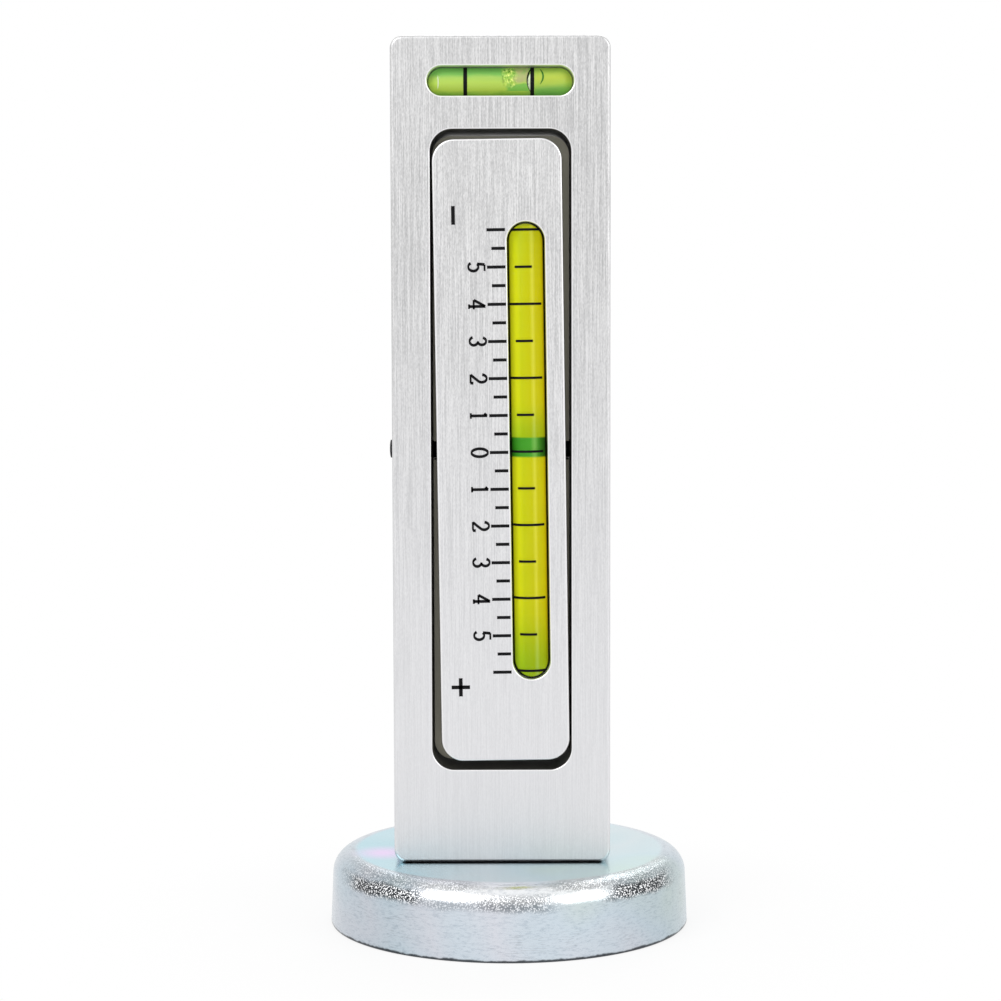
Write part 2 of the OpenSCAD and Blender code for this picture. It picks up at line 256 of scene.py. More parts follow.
def rounding(reach: float, steps: int = 5) -> np.ndarray:
    """A quarter circle that eases an edge, with a held point on each side of it.

    Args:
        reach: The radius of the easing.
        steps: The number of points in it.

    Returns:
        An array of (inset, depth): from the face, where the inset is largest, to the wall.
    """
    eased = arc((reach, reach), (reach, reach), 270.0, 180.0, steps)
    return np.concatenate([[[reach + HOLD, 0.0]], eased, [[0.0, reach + HOLD]]])


def filled(outer: np.ndarray, holes: list[np.ndarray], facing: np.ndarray) -> Surface:
    """Fills a flat outline around its holes.

    Args:
        outer: The outline's points, n by 3.
        holes: Each hole's points.
        facing: The direction that the faces look in.

    Returns:
        The points and the faces.
    """
    loops = [outer, *holes]
    triangles = tessellate_polygon([[Vector(point) for point in ring.tolist()] for ring in loops])
    points = np.concatenate(loops)
    corners = points[np.array(triangles)]
    normals = np.cross(corners[:, 1] - corners[:, 0], corners[:, 2] - corners[:, 0])
    away = normals @ facing
    seen = [(list(face), side) for face, side in zip(triangles, away) if abs(side) > 0.0]
    faces = [face if side > 0.0 else face[::-1] for face, side in seen]
    return points, faces


@dataclass(frozen=True)
class Plane:
    """A face of a block: a corner point and the directions of its width, height and depth."""

    origin: np.ndarray
    across: np.ndarray
    up: np.ndarray
    inward: np.ndarray

    def lift(self, flat: np.ndarray, depth: float) -> np.ndarray:
        """Carries points of the face, n by 2, to the block's frame at that depth below it."""
        return self.origin + flat[:, :1] * self.across + flat[:, 1:] * self.up + depth * self.inward

    def turned(self) -> bool:
        """Says whether an anticlockwise loop on this plane looks clockwise from outside."""
        return float(np.cross(self.across, self.up) @ self.inward) > 0.0


@dataclass(frozen=True)
class Pocket:
    """A round-cornered recess: where it is on its face, its size, its depth and its eased rim."""

    centre: Point
    width: float
    height: float
    radius: float
    depth: float
    ease: float
    floor: bool = True

    def rings(self) -> list[tuple[np.ndarray, float]]:
        """The recess's loops and their depths, from the face to the floor."""
        steps = rounding(self.ease)
        steps = np.concatenate([steps, [[0.0, self.depth - HOLD], [0.0, self.depth]]])
        rings = []
        for inset, depth in steps:
            flat = loop(self.width + 2 * inset, self.height + 2 * inset, self.radius + inset)
            rings.append((flat + np.array(self.centre), float(depth)))
        return rings

    def surface(self, plane: Plane) -> Surface:
        """The recess's rim, wall and floor.

        Each loop is one ring of a grid, and the grid's rows run down the rim and the wall.

        Args:
            plane: The face that it is cut in.

        Returns:
            The points and the faces, which look into the recess.
        """
        rings = self.rings()
        lifted = [plane.lift(flat, depth) for flat, depth in rings]
        faces = ring_faces(len(rings), len(rings[0][0]))
        faces = flipped(faces) if plane.turned() else faces
        parts = [(np.concatenate(lifted), faces)]
        if self.floor:
            parts.append(filled(lifted[-1], [], -plane.inward))
        return joined(parts)


@dataclass(frozen=True)
class Block:
    """A block with round corners as seen from the front, eased edges and recesses in its faces."""

    width: float
    depth: float
    height: float
    radius: float
    ease: float
    front: tuple[Pocket, ...] = ()
    rear: tuple[Pocket, ...] = ()
    sides: tuple[Pocket, ...] = ()
    top: tuple[Pocket, ...] = ()
    window: Pocket | None = None

    def planes(self) -> dict[str, Plane]:
        """The six faces, in the block's own frame with its middle at the origin."""
        x, y, z = np.eye(3)
        half_w, half_d, half_h = self.width / 2.0, self.depth / 2.0, self.height / 2.0
        return {
            "front": Plane(-half_d * y, x, z, y),
            "rear": Plane(half_d * y, x, z, -y),
            "left": Plane(-half_w * x, y, z, x),
            "right": Plane(half_w * x, y, z, -x),
            "top": Plane(half_h * z, x, y, -z),
            "bottom": Plane(-half_h * z, x, y, z),
        }

    def skin(self) -> Surface:
        """The block's outside, without its flat faces.

        The loop seen from the front is carried from the front face's edge, round the easing, back
        along the wall and round the rear easing. Each step is one ring of a grid.

        Returns:
            The points and the faces.
        """
        ease = rounding(self.ease)
        near = np.stack([ease[:, 0], ease[:, 1] - self.depth / 2.0], axis=1)
        far = np.stack([ease[::-1, 0], self.depth / 2.0 - ease[::-1, 1]], axis=1)
        rows = np.concatenate([near, far])
        rings = []
        for inset, y in rows:
            flat = loop(self.width - 2 * inset, self.height - 2 * inset, self.radius - inset)
            rings.append(np.stack([flat[:, 0], np.full(len(flat), y), flat[:, 1]], axis=1))
        columns = len(rings[0])
        per_corner = columns // 4
        grid = np.array(ring_faces(len(rings), columns)).reshape(len(rings) - 1, columns, 4)
        keep = np.ones(grid.shape[:2], dtype=bool)
        keep[len(ease) - 1, per_corner - 1 :: per_corner] = False
        return np.concatenate(rings), flipped(grid[keep].tolist())

    def surface(self) -> Surface:
        """The whole block: its skin, its six flat faces and its recesses.

        Returns:
            The points and the faces.
        """
        held = self.ease + HOLD
        planes = self.planes()
        outline = loop(self.width - 2 * held, self.height - 2 * held, self.radius - held)
        straight_x = self.width / 2.0 - self.radius - HOLD
        straight_z = self.height / 2.0 - self.radius - HOLD
        straight_y = self.depth / 2.0 - held

        def box(half_u: float, half_v: float) -> np.ndarray:
            return np.array([[-half_u, -half_v], [half_u, -half_v], [half_u, half_v], [-half_u, half_v]])

        through = (self.window,) if self.window else ()
        plan = (
            ("front", outline, self.front + through),
            ("rear", outline, self.rear + through),
            ("left", box(straight_y, straight_z), self.sides),
            ("right", box(straight_y, straight_z), self.sides),
            ("top", box(straight_x, straight_y), self.top),
            ("bottom", box(straight_x, straight_y), ()),
        )
        parts = [self.skin()]
        for side, edge, pockets in plan:
            plane = planes[side]
            holes = [plane.lift(*pocket.rings()[0]) for pocket in pockets]
            parts.append(filled(plane.lift(edge, 0.0), holes, -plane.inward))
            parts += [pocket.surface(plane) for pocket in pockets]
        return joined(parts)


def rod_profile(radius: float, low: float, high: float, end_r: float, steps: int = 12) -> np.ndarray:
    """The profile of a rod whose two ends are rounded.

    Args:
        radius: The rod's radius.
        low: The height of its lower end.
        high: The height of its upper end.
        end_r: How far the rounding of each end reaches along the rod.
        steps: The number of points in each rounding.

    Returns:
        The profile, radius and height, from the bottom upwards.
    """
    tip = 0.02 * radius
    bottom = arc((tip, low + end_r), (radius - tip, end_r), -90.0, 0.0, steps)
    top = arc((tip, high - end_r), (radius - tip, end_r), 0.0, 90.0, steps)
    return np.concatenate([bottom, top])


def ribbon(path: np.ndarray, half_width: np.ndarray, film: float) -> Surface:
    """Carries a thin rectangle along a flat path in the XZ plane.

    At each point the rectangle reaches half_width to both sides of the path, square to it, and
    stands film out of the plane, towards -Y.

    Args:
        path: An array of n by 2, x and z.
        half_width: The n half widths.
        film: The thickness.

    Returns:
        The points and the faces.
    """
    along = np.gradient(path, axis=0)
    along /= np.linalg.norm(along, axis=1, keepdims=True)
    side = np.stack([-along[:, 1], along[:, 0]], axis=1) * half_width[:, None]
    left, right = path + side, path - side
    count = len(path)
    points = np.zeros((count, 4, 3))
    for corner, (flat, depth) in enumerate([(left, 0.0), (right, 0.0), (right, -film), (left, -film)]):
        points[:, corner, 0] = flat[:, 0]
        points[:, corner, 1] = depth
        points[:, corner, 2] = flat[:, 1]
    faces = ring_faces(count, 4)
    faces.append([3, 2, 1, 0])
    faces.append([4 * (count - 1) + corner for corner in range(4)])
    return points.reshape(-1, 3), faces


# ---------------------------------------------------------------------------------------------
# Finishes
# ---------------------------------------------------------------------------------------------


def paint(red: int, green: int, blue: int) -> Colour:
    """Turns a colour as a screen shows it into the linear one that a shader takes.

    Args:
        red: The red part, from 0 to 255.
        green: The green part.
        blue: The blue part.

    Returns:
        The linear colour.
    """
    parts = np.array([red, green, blue]) / 255.0
    linear = np.where(parts <= 0.04045, parts / 12.92, ((parts + 0.055) / 1.055) ** 2.4)
    return tuple(float(part) for part in linear)


class Tree:
    """A material's node tree, with short calls for the nodes that the finishes use."""

    def __init__(self, name: str) -> None:
        """Makes an empty material of that name."""
        self.material = bpy.data.materials.new(name)
        self.material.use_nodes = True
        self.nodes = self.material.node_tree.nodes
        self.nodes.clear()
        self.place = self.add("ShaderNodeTexCoord").outputs["Object"]

    def add(self, kind: str, inputs: dict | None = None, **settings: object) -> bpy.types.Node:
        """Adds a node.

        Args:
            kind: Blender's name of the node.
            inputs: A value, or another node's output, for each named or numbered input.
            settings: The node's own settings.

        Returns:
            The node.
        """
        node = self.nodes.new(kind)
        for key, value in settings.items():
            setattr(node, key, value)
        for key, value in (inputs or {}).items():
            if isinstance(value, Socket):
                self.material.node_tree.links.new(value, node.inputs[key])
            else:
                node.inputs[key].default_value = value
        return node

    def maths(self, operation: str, first: object, second: object = 0.0) -> Socket:
        """Gives the result of a Math node."""
        return self.add("ShaderNodeMath", {0: first, 1: second}, operation=operation).outputs[0]

    def step(self, value: object, low: float, high: float) -> Socket:
        """Gives 0 below low and 1 above high, with a smooth rise between."""
        inputs = {"Value": value, "From Min": low, "From Max": high}
        return self.add("ShaderNodeMapRange", inputs, interpolation_type="SMOOTHSTEP").outputs[0]

    def between(self, value: object, low: float, high: float, soft: float) -> Socket:
        """Gives 1 from low to high and 0 outside, with ends that are soft by that much each way."""
        rise = self.step(value, low - soft, low + soft)
        return self.maths("SUBTRACT", rise, self.step(value, high - soft, high + soft))

    def product(self, *values: object) -> Socket:
        """Multiplies all the values."""
        result = values[0]
        for value in values[1:]:
            result = self.maths("MULTIPLY", result, value)
        return result

    def inverse(self, value: object) -> Socket:
        """Gives 1 minus the value."""
        return self.maths("SUBTRACT", 1.0, value)

    def wobble(self, value: object, per_metre: float, reach: float) -> Socket:
        """Adds noise to a value, up to about reach each way."""
        noise = self.maths("SUBTRACT", self.noise((per_metre, per_metre, per_metre)), 0.5)
        return self.maths("ADD", value, self.maths("MULTIPLY", noise, 2.0 * reach))

    def span(self, value: object, low: float, high: float) -> Socket:
        """Stretches a value from 0..1 to low..high."""
        node = self.add("ShaderNodeMapRange", {"Value": value, "To Min": low, "To Max": high})
        return node.outputs[0]

    def noise(self, per_metre: Place, detail: float = 2.0, rough: float = 0.5) -> Socket:
        """Gives noise with that many features in a metre along X, Y and Z.

        Args:
            per_metre: The features in a metre along each axis.
            detail: How many finer layers are added.
            rough: The strength of each finer layer against the one before.

        Returns:
            The noise, from 0 to 1.
        """
        mapping = self.add("ShaderNodeMapping", {"Vector": self.place, "Scale": per_metre})
        node = self.add(
            "ShaderNodeTexNoise",
            {"Vector": mapping.outputs[0], "Scale": 1.0, "Detail": detail, "Roughness": rough},
        )
        return node.outputs[0]

    def ramp(self, value: object, stops: list[tuple[float, Colour]]) -> Socket:
        """Gives the colour of a ramp of stops.

        Args:
            value: The place on the ramp, from 0 to 1.
            stops: Each stop's position and colour.

        Returns:
            The colour.
        """
        node = self.add("ShaderNodeValToRGB", {0: value})
        elements = node.color_ramp.elements
        while len(elements) < len(stops):
            elements.new(0.5)
        for element, (position, colour) in zip(elements, stops):
            element.position = position
            element.color = (*colour, 1.0)
        return node.outputs[0]

    def mixed(self, share: object, first: object, second: object, blend: str = "MIX") -> Socket:
        """Mixes two colours.

        Args:
            share: How much of the second is mixed in, from 0 to 1.
            first: The first colour.
            second: The second colour.
            blend: Blender's name of the way of mixing.

        Returns:
            The mixed colour.
        """
        node = self.add("ShaderNodeMix", data_type="RGBA", blend_type=blend)
        for slot, value in ((0, share), (6, first), (7, second)):
            if isinstance(value, Socket):
                self.material.node_tree.links.new(value, node.inputs[slot])
            elif slot == 0:
                node.inputs[slot].default_value = value
            else:
                node.inputs[slot].default_value = (*value, 1.0)
        return node.outputs[2]

    def bump(self, height: object, distance: float) -> Socket:
        """Gives the normal of a rough surface that is distance metres high where height is 1."""
        inputs = {"Height": height, "Distance": distance, "Strength": 1.0}
        return self.add("ShaderNodeBump", inputs).outputs[0]

    def place_part(self, axis: str) -> Socket:
        """Gives the x, y or z of the place on the piece."""
        return self.add("ShaderNodeSeparateXYZ", {0: self.place}).outputs[axis]

    def finish(self, shader: bpy.types.Node) -> Material:
        """Ends the tree with that shader and gives the material."""
        self.add("ShaderNodeOutputMaterial", {"Surface": shader.outputs[0]})
        return self.material

    def finish_mix(self, share: object, first: bpy.types.Node, second: bpy.types.Node) -> Material:
        """Ends the tree with a mix of two shaders, of which the second has that share."""
        inputs = {0: share, 1: first.outputs[0], 2: second.outputs[0]}
        return self.finish(self.add("ShaderNodeMixShader", inputs))


@dataclass(frozen=True)
class BrushedAluminium:
    """Aluminium with a fine straight grain along Z."""

    name: str
    light: Colour = (0.745, 0.742, 0.742)
    dark: Colour = (0.41, 0.41, 0.412)
    # The colour of the painted sheen that lightens the metal towards its foot.
    foot: Colour = (0.765, 0.765, 0.785)
    grain_mm: float = 0.10
    grain_len_mm: float = 9.0
    grain_depth: float = 3.0e-6
    sheen_low: float = 20.0 * MM
    sheen_high: float = 125.0 * MM

    def build(self) -> Material:
        """Makes the material.

        Returns:
            A metal whose colour, roughness and height follow three sizes of streak, and which is a
            little smoother and brighter towards its foot, where a sheen is painted into its colour.
        """
        tree = Tree(self.name)
        across, along = 1.0 / (self.grain_mm * MM), 1.0 / (self.grain_len_mm * MM)
        fine = tree.noise((across, across, along), 2.0, 0.7)
        speckle = tree.noise((across * 0.8, across * 0.8, along * 20.0), 1.0)
        broad = tree.noise((across * 0.2, across * 0.2, along * 0.3), 2.0)
        grain = tree.maths(
            "ADD",
            tree.maths("MULTIPLY", fine, 0.62),
            tree.maths("ADD", tree.maths("MULTIPLY", speckle, 0.30), tree.maths("MULTIPLY", broad, 0.08)),
        )
        contrast = tree.step(grain, 0.34, 0.66)
        # Painted sheen: towards the foot the grain fades into a lighter colour.
        foot_sheen_share = tree.span(tree.step(tree.place_part("Z"), self.sheen_low, self.sheen_high), 0.78, 0.12)
        colour = tree.mixed(contrast, self.dark, self.light)
        colour = tree.mixed(foot_sheen_share, colour, self.foot)
        shader = tree.add(
            "ShaderNodeBsdfPrincipled",
            {
                "Base Color": colour,
                "Metallic": 1.0,
                "Roughness": tree.span(grain, 0.32, 0.54),
                "Normal": tree.bump(grain, self.grain_depth),
            },
        )
        return tree.finish(shader)


@dataclass(frozen=True)
class ZincPlate:
    """Bright zinc plating with a pale blue film, crinkled in patches where the shoulder was drawn, with
    painted reflections on them.
    """

    name: str
    cyan: Colour = paint(207, 219, 228)
    silver: Colour = paint(218, 221, 229)
    lilac: Colour = paint(222, 196, 236)
    cream: Colour = paint(208, 220, 215)
    # Near-black for the wall's scratches, the painted reflections, the painted shade at the bottom rim and
    # the painted shadow at the tower's foot.
    scratch_and_painted_shade: Colour = paint(22, 25, 31)
    # The white of the painted highlight and of the painted reflections' speckle.
    white: Colour = (0.96, 0.97, 0.98)
    top_painted_reflection: Colour = (0.80, 0.92, 0.90)
    side_painted_shade: Colour = (0.80, 0.825, 0.83)
    left_tint: Colour = (0.75, 0.95, 1.0)
    mottle_tint: Colour = (0.80, 0.82, 0.84)
    half_w: float = 30.0 * MM
    height: float = 12.1 * MM
    shoulder_in: float = 25.2 * MM
    shoulder_out: float = 26.4 * MM
    tint_place: Place = (-21.0 * MM, -4.0 * MM, 12.1 * MM)
    tint_reach: float = 6.5 * MM
    foot_x: float = -1.1 * MM
    foot_half_w: float = 16.3 * MM
    foot_half_d: float = 12.3 * MM

    def film(self, tree: Tree, along: object, outer: object) -> Socket:
        """Gives the plating's hue.

        Args:
            tree: The material's tree.
            along: The place from the left, 0, to the right, 1.
            outer: 1 on the shoulder and the wall, 0 on the top.

        Returns:
            Soft clouds of blue, silver and cream with a lilac spot on the top, with a painted reflection
            that darkens the top and painted shade towards both sides of the wall.
        """
        cloud = tree.noise((38.0, 38.0, 38.0), 2.0, 0.45)
        stops = [(0.32, self.cyan), (0.44, self.silver), (0.56, self.cyan), (0.70, self.cream)]
        colour = tree.ramp(cloud, stops)
        # Painted reflection: the top is darkened where it mirrors the tower.
        colour = tree.mixed(tree.inverse(outer), colour, self.top_painted_reflection, "MULTIPLY")
        left = tree.product(tree.inverse(tree.step(along, 0.12, 0.42)), tree.inverse(outer))
        colour = tree.mixed(left, colour, self.left_tint, "MULTIPLY")
        # Painted shade towards both sides of the wall, where it turns away from the light.
        sides = tree.inverse(tree.between(along, 0.26, 0.80, 0.16))
        colour = tree.mixed(tree.product(sides, outer), colour, self.side_painted_shade, "MULTIPLY")
        away = tree.add("ShaderNodeVectorMath", {0: tree.place, 1: self.tint_place}, operation="DISTANCE")
        near = tree.inverse(tree.step(away.outputs["Value"], 0.0, self.tint_reach))
        return tree.mixed(near, colour, self.lilac)

    def patches(self, tree: Tree, along: object, up: object) -> Socket:
        """Says where the shoulder is crinkled and carries painted reflections.

        Args:
            tree: The material's tree.
            along: The place from the left, 0, to the right, 1.
            up: The height.

        Returns:
            1 in a patch at each side, less in one lower down in the middle and in two tails along
            the front of the shoulder's upper edge.
        """
        front = tree.inverse(tree.step(tree.place_part("Y"), -6.0 * MM, 2.0 * MM))
        along = tree.wobble(along, 170.0, 0.03)
        up = tree.wobble(up, 260.0, 0.8 * MM)
        plan = (
            ((0.07, 0.26, 0.04), (8.5, 10.9, 0.6), 1.0),
            ((0.765, 0.93, 0.04), (8.7, 11.1, 0.6), 1.0),
            ((0.40, 0.61, 0.05), (8.2, 10.6, 0.6), 0.6),
            ((0.08, 0.42, 0.04), (11.0, 12.3, 0.35), tree.product(front, 0.4)),
            ((0.62, 0.93, 0.04), (11.0, 12.3, 0.35), tree.product(front, 0.5)),
            ((0.25, 0.45, 0.05), (8.2, 9.6, 0.5), 0.35),
        )
        result: object = 0.0
        for (left, right, soft), (low, high, soft_up), share in plan:
            patch = tree.product(
                tree.between(along, left, right, soft),
                tree.between(up, low * MM, high * MM, soft_up * MM),
                share,
            )
            result = tree.maths("MAXIMUM", patch, result)
        return result

    def foot_painted_shadow(self, tree: Tree) -> Socket:
        """Gives the painted shadow where the tower's foot meets the plating in front and behind.

        Args:
            tree: The material's tree.

        Returns:
            1 on the line and under the foot, 0 elsewhere.
        """
        edge = 0.35 * MM
        across = tree.maths("ABSOLUTE", tree.maths("SUBTRACT", tree.place_part("X"), self.foot_x))
        deep = tree.maths("ABSOLUTE", tree.place_part("Y"))
        in_width = tree.inverse(tree.step(across, self.foot_half_w - edge, self.foot_half_w + edge))
        in_depth = tree.inverse(tree.step(deep, self.foot_half_d - edge, self.foot_half_d + edge))
        return tree.product(in_width, in_depth)

    def build(self) -> Material:
        """Makes the material.

        Returns:
            A metal with the film's hue. Its crinkled patches carry painted reflections, speckled black
            and white, the rest of its shoulder has a painted highlight, its wall has fine level
            scratches, its bottom rim has a painted shade line and a painted shadow lies at the tower's foot.
        """
        tree = Tree(self.name)
        flat = tree.add("ShaderNodeVectorMath", {0: tree.place, 1: (1.0, 1.0, 0.0)}, operation="MULTIPLY")
        radius = tree.add("ShaderNodeVectorMath", {0: flat.outputs[0]}, operation="LENGTH").outputs["Value"]
        outer = tree.step(radius, self.shoulder_in, self.shoulder_out)
        up = tree.place_part("Z")
        along = tree.maths("ADD", tree.maths("DIVIDE", tree.place_part("X"), 2.0 * self.half_w), 0.5)
        colour = self.film(tree, along, outer)

        # Painted highlight: a white band along the middle of the shoulder.
        shine = tree.product(
            tree.between(tree.wobble(up, 200.0, 0.5 * MM), 9.4 * MM, 11.9 * MM, 0.5 * MM),
            tree.between(along, 0.27, 0.78, 0.06),
            outer,
        )
        colour = tree.mixed(tree.product(shine, 0.8), colour, self.white)

        scratch = tree.noise((500.0, 500.0, 4600.0), 3.0, 0.65)
        worn = tree.step(tree.noise((130.0, 130.0, 260.0), 1.0), 0.5, 0.66)
        scratched = tree.inverse(tree.step(scratch, 0.34, 0.48))
        fleck = tree.product(scratched, outer, tree.span(worn, 0.04, 0.22))
        colour = tree.mixed(fleck, colour, self.scratch_and_painted_shade)
        mottle = tree.step(tree.noise((900.0, 900.0, 3000.0), 3.0, 0.75), 0.46, 0.70)
        colour = tree.mixed(tree.product(mottle, outer), colour, self.mottle_tint, "MULTIPLY")

        crinkle = tree.noise((3900.0, 3900.0, 3900.0), 1.0, 0.5)
        patch = tree.product(self.patches(tree, along, up), outer)
        # Painted reflection: the crinkled patches are speckled black and white like the dark and bright
        # surroundings they mirror.
        speckle = tree.mixed(tree.step(crinkle, 0.53, 0.59), self.scratch_and_painted_shade, self.white)
        colour = tree.mixed(tree.product(patch, 0.95), colour, speckle)

        # Painted shade: a dark line along the cup's bottom rim, where it meets the floor.
        rim = tree.inverse(tree.step(tree.wobble(up, 700.0, 0.3 * MM), 0.35 * MM, 0.65 * MM))
        # Painted shadow under the tower's foot.
        foot = tree.product(self.foot_painted_shadow(tree), tree.inverse(outer))
        dark = tree.maths("MAXIMUM", tree.product(rim, 0.9), foot)
        colour = tree.mixed(dark, colour, self.scratch_and_painted_shade)

        height = tree.maths("ADD", tree.product(scratch, outer, 0.12), tree.product(patch, crinkle))
        shader = tree.add(
            "ShaderNodeBsdfPrincipled",
            {
                "Base Color": colour,
                "Metallic": 1.0,
                "Roughness": tree.span(tree.noise((60.0, 60.0, 60.0)), 0.14, 0.28),
                "Normal": tree.bump(height, 1.6e-4),
            },
        )
        return tree.finish(shader)


@dataclass(frozen=True)
class TurnedMetal:
    """A machined metal with fine marks in every direction."""

    name: str
    colour: Colour
    roughness: float = 0.3
    marks_mm: float = 0.15

    def build(self) -> Material:
        """Makes the material."""
        tree = Tree(self.name)
        per_metre = 1.0 / (self.marks_mm * MM)
        marks = tree.noise((per_metre, per_metre, per_metre), 3.0)
        darker: Colour = tuple(0.78 * part for part in self.colour)
        shader = tree.add(
            "ShaderNodeBsdfPrincipled",
            {
                "Base Color": tree.mixed(marks, darker, self.colour),
                "Metallic": 1.0,
                "Roughness": tree.span(marks, self.roughness - 0.06, self.roughness + 0.1),
                "Normal": tree.bump(marks, 3.0e-6),
            },
        )
        return tree.finish(shader)


@dataclass(frozen=True)
class Solid:
    """A cast, moulded, ground or printed surface with a little grain."""

    name: str
    colour: Colour
    roughness: float = 0.5
    grain_mm: float = 0.3
    grain_depth: float = 8.0e-6
    specular: float = 0.5

    def build(self) -> Material:
        """Makes the material."""
        tree = Tree(self.name)
        per_metre = 1.0 / (self.grain_mm * MM)
        grain = tree.noise((per_metre, per_metre, per_metre), 3.0)
        darker: Colour = tuple(0.82 * part for part in self.colour)
        shader = tree.add(
            "ShaderNodeBsdfPrincipled",
            {
                "Base Color": tree.mixed(grain, darker, self.colour),
                "Roughness": tree.span(grain, self.roughness - 0.08, self.roughness + 0.08),
                "Specular IOR Level": self.specular,
                "Normal": tree.bump(grain, self.grain_depth),
            },
        )
        return tree.finish(shader)


@dataclass(frozen=True)
class ClearWall:
    """The clear wall of a vial: it lets the liquid show and keeps the gloss of acrylic."""

    name: str
    tint: Colour = (0.97, 1.0, 0.9)
    gloss: float = 0.04
    fresnel_ior: float = 1.2

    def build(self) -> Material:
        """Makes the material.

        Returns:
            A clear layer with a Fresnel gloss on it.
        """
        tree = Tree(self.name)
        clear = tree.add("ShaderNodeBsdfTransparent", {"Color": (*self.tint, 1.0)})
        shine = tree.add("ShaderNodeBsdfGlossy", {"Color": (1.0, 1.0, 1.0, 1.0), "Roughness": self.gloss})
        share = tree.add("ShaderNodeFresnel", {"IOR": self.fresnel_ior}).outputs[0]
        return tree.finish_mix(share, clear, shine)


@dataclass(frozen=True)
class Spirit:
    """A dyed liquid behind a round wall: it has a little painted glow, and its hue runs across the tube."""

    name: str
    centre: Place
    radius: float
    slot_w: float
    slot_len: float
    # Emission that brightens the liquid under any lamp: painted light.
    glow: float = 0.38
    clear: float = 0.08
    # The colour of the painted shade line along the slot's outline.
    outline: Colour = paint(14, 20, 6)

    def slot_edge_shaded(
        self, tree: Tree, colour: object, along: object, across: object, line: float
    ) -> Socket:
        """Paints shade into the liquid along the outline of its slot, which has round ends.

        Args:
            tree: The material's tree.
            colour: The liquid's colour at each place.
            along: The place along the slot, from its middle.
            across: The place across it.
            line: The width of the painted shade line.

        Returns:
            The colour with the painted shade line.
        """
        straight = (self.slot_len - self.slot_w) / 2.0
        past = tree.maths("MAXIMUM", tree.maths("SUBTRACT", tree.maths("ABSOLUTE", along), straight), 0.0)
        reach = tree.maths("SQRT", tree.maths("ADD", tree.product(past, past), tree.product(across, across)))
        inner = self.slot_w / 2.0 - line
        return tree.mixed(tree.step(reach, inner - 0.4 * line, inner + 0.2 * line), colour, self.outline)

    def end(self, tree: Tree, colour: object) -> Material:
        """Mixes the bright liquid with a clear layer of its own colour.

        Args:
            tree: The material's tree.
            colour: The liquid's colour at each place.

        Returns:
            The material.
        """
        clear = tree.add("ShaderNodeBsdfTransparent", {"Color": colour})
        soft = tree.add(
            "ShaderNodeBsdfPrincipled",
            {
                "Base Color": colour,
                "Roughness": 0.35,
                "Specular IOR Level": 0.1,
                "Emission Color": colour,
                "Emission Strength": self.glow,
            },
        )
        return tree.finish_mix(self.clear, soft, clear)


@dataclass(frozen=True)
class YellowSpirit(Spirit):
    """The long vials' liquid: yellow, greener at its left, amber at its right, with painted shade that
    greens its ends.
    """

    turn: float = 1.0
    lean: float = 0.0
    half: float = 37.0 * MM
    pin_low: float = -0.9 * MM
    pin_high: float = 2.3 * MM

    def build(self) -> Material:
        """Makes the material.

        Returns:
            The liquid, with the shade that the cross pin casts into it near the middle.
        """
        tree = Tree(self.name)
        up = tree.maths("SUBTRACT", tree.place_part("Z"), self.centre[2])
        right = tree.maths("SUBTRACT", tree.place_part("X"), self.centre[0])
        right = tree.maths("ADD", right, tree.maths("MULTIPLY", up, math.tan(self.lean)))
        share = tree.maths("ADD", tree.maths("MULTIPLY", right, self.turn * 0.5 / self.radius), 0.5)
        # Across the tube the ramp paints shade towards both edges and a painted highlight streak at 0.66.
        colour = tree.ramp(
            share,
            [
                (0.0, paint(150, 148, 14)),
                (0.08, paint(206, 204, 28)),
                (0.18, paint(218, 216, 22)),
                (0.34, paint(193, 193, 4)),
                (0.58, paint(197, 191, 5)),
                (0.66, paint(213, 206, 62)),
                (0.73, paint(206, 196, 14)),
                (0.88, paint(220, 208, 18)),
                (0.96, paint(208, 182, 14)),
                (1.0, paint(170, 130, 8)),
            ],
        )
        # Painted shade: greener towards both ends, where the slot's ends shade the liquid, and next to the
        # cross pin.
        low_end_shade = tree.maths("SUBTRACT", 1.0, tree.step(up, -self.half, -self.half + 13.0 * MM))
        high_end_shade = tree.maths("MULTIPLY", tree.step(up, self.half - 12.0 * MM, self.half), 0.2)
        below_pin, above_pin = tree.step(up, -2.0 * MM, 2.0 * MM), tree.step(up, 2.0 * MM, 9.0 * MM)
        pin_shade = tree.product(tree.maths("SUBTRACT", below_pin, above_pin), 0.75)
        greener = tree.maths("MAXIMUM", tree.maths("MAXIMUM", low_end_shade, high_end_shade), pin_shade)
        colour = tree.mixed(tree.product(greener, 0.85), colour, (0.47, 0.76, 1.6), "MULTIPLY")
        fade = 0.18 * MM
        band = tree.between(up, self.pin_low, self.pin_high, fade)
        shade = tree.ramp(
            share,
            [
                (0.0, paint(14, 48, 10)),
                (0.12, paint(56, 140, 30)),
                (0.55, paint(72, 154, 44)),
                (0.67, paint(120, 178, 86)),
                (0.78, paint(70, 144, 40)),
                (1.0, paint(20, 60, 16)),
            ],
        )
        colour = tree.mixed(band, colour, shade)
        lines = tree.noise((120.0, 120.0, 2400.0), 1.0)
        colour = tree.mixed(tree.span(lines, 0.0, 0.22), colour, (0.6, 0.68, 0.6), "MULTIPLY")
        return self.end(tree, self.slot_edge_shaded(tree, colour, up, right, 0.3 * MM))


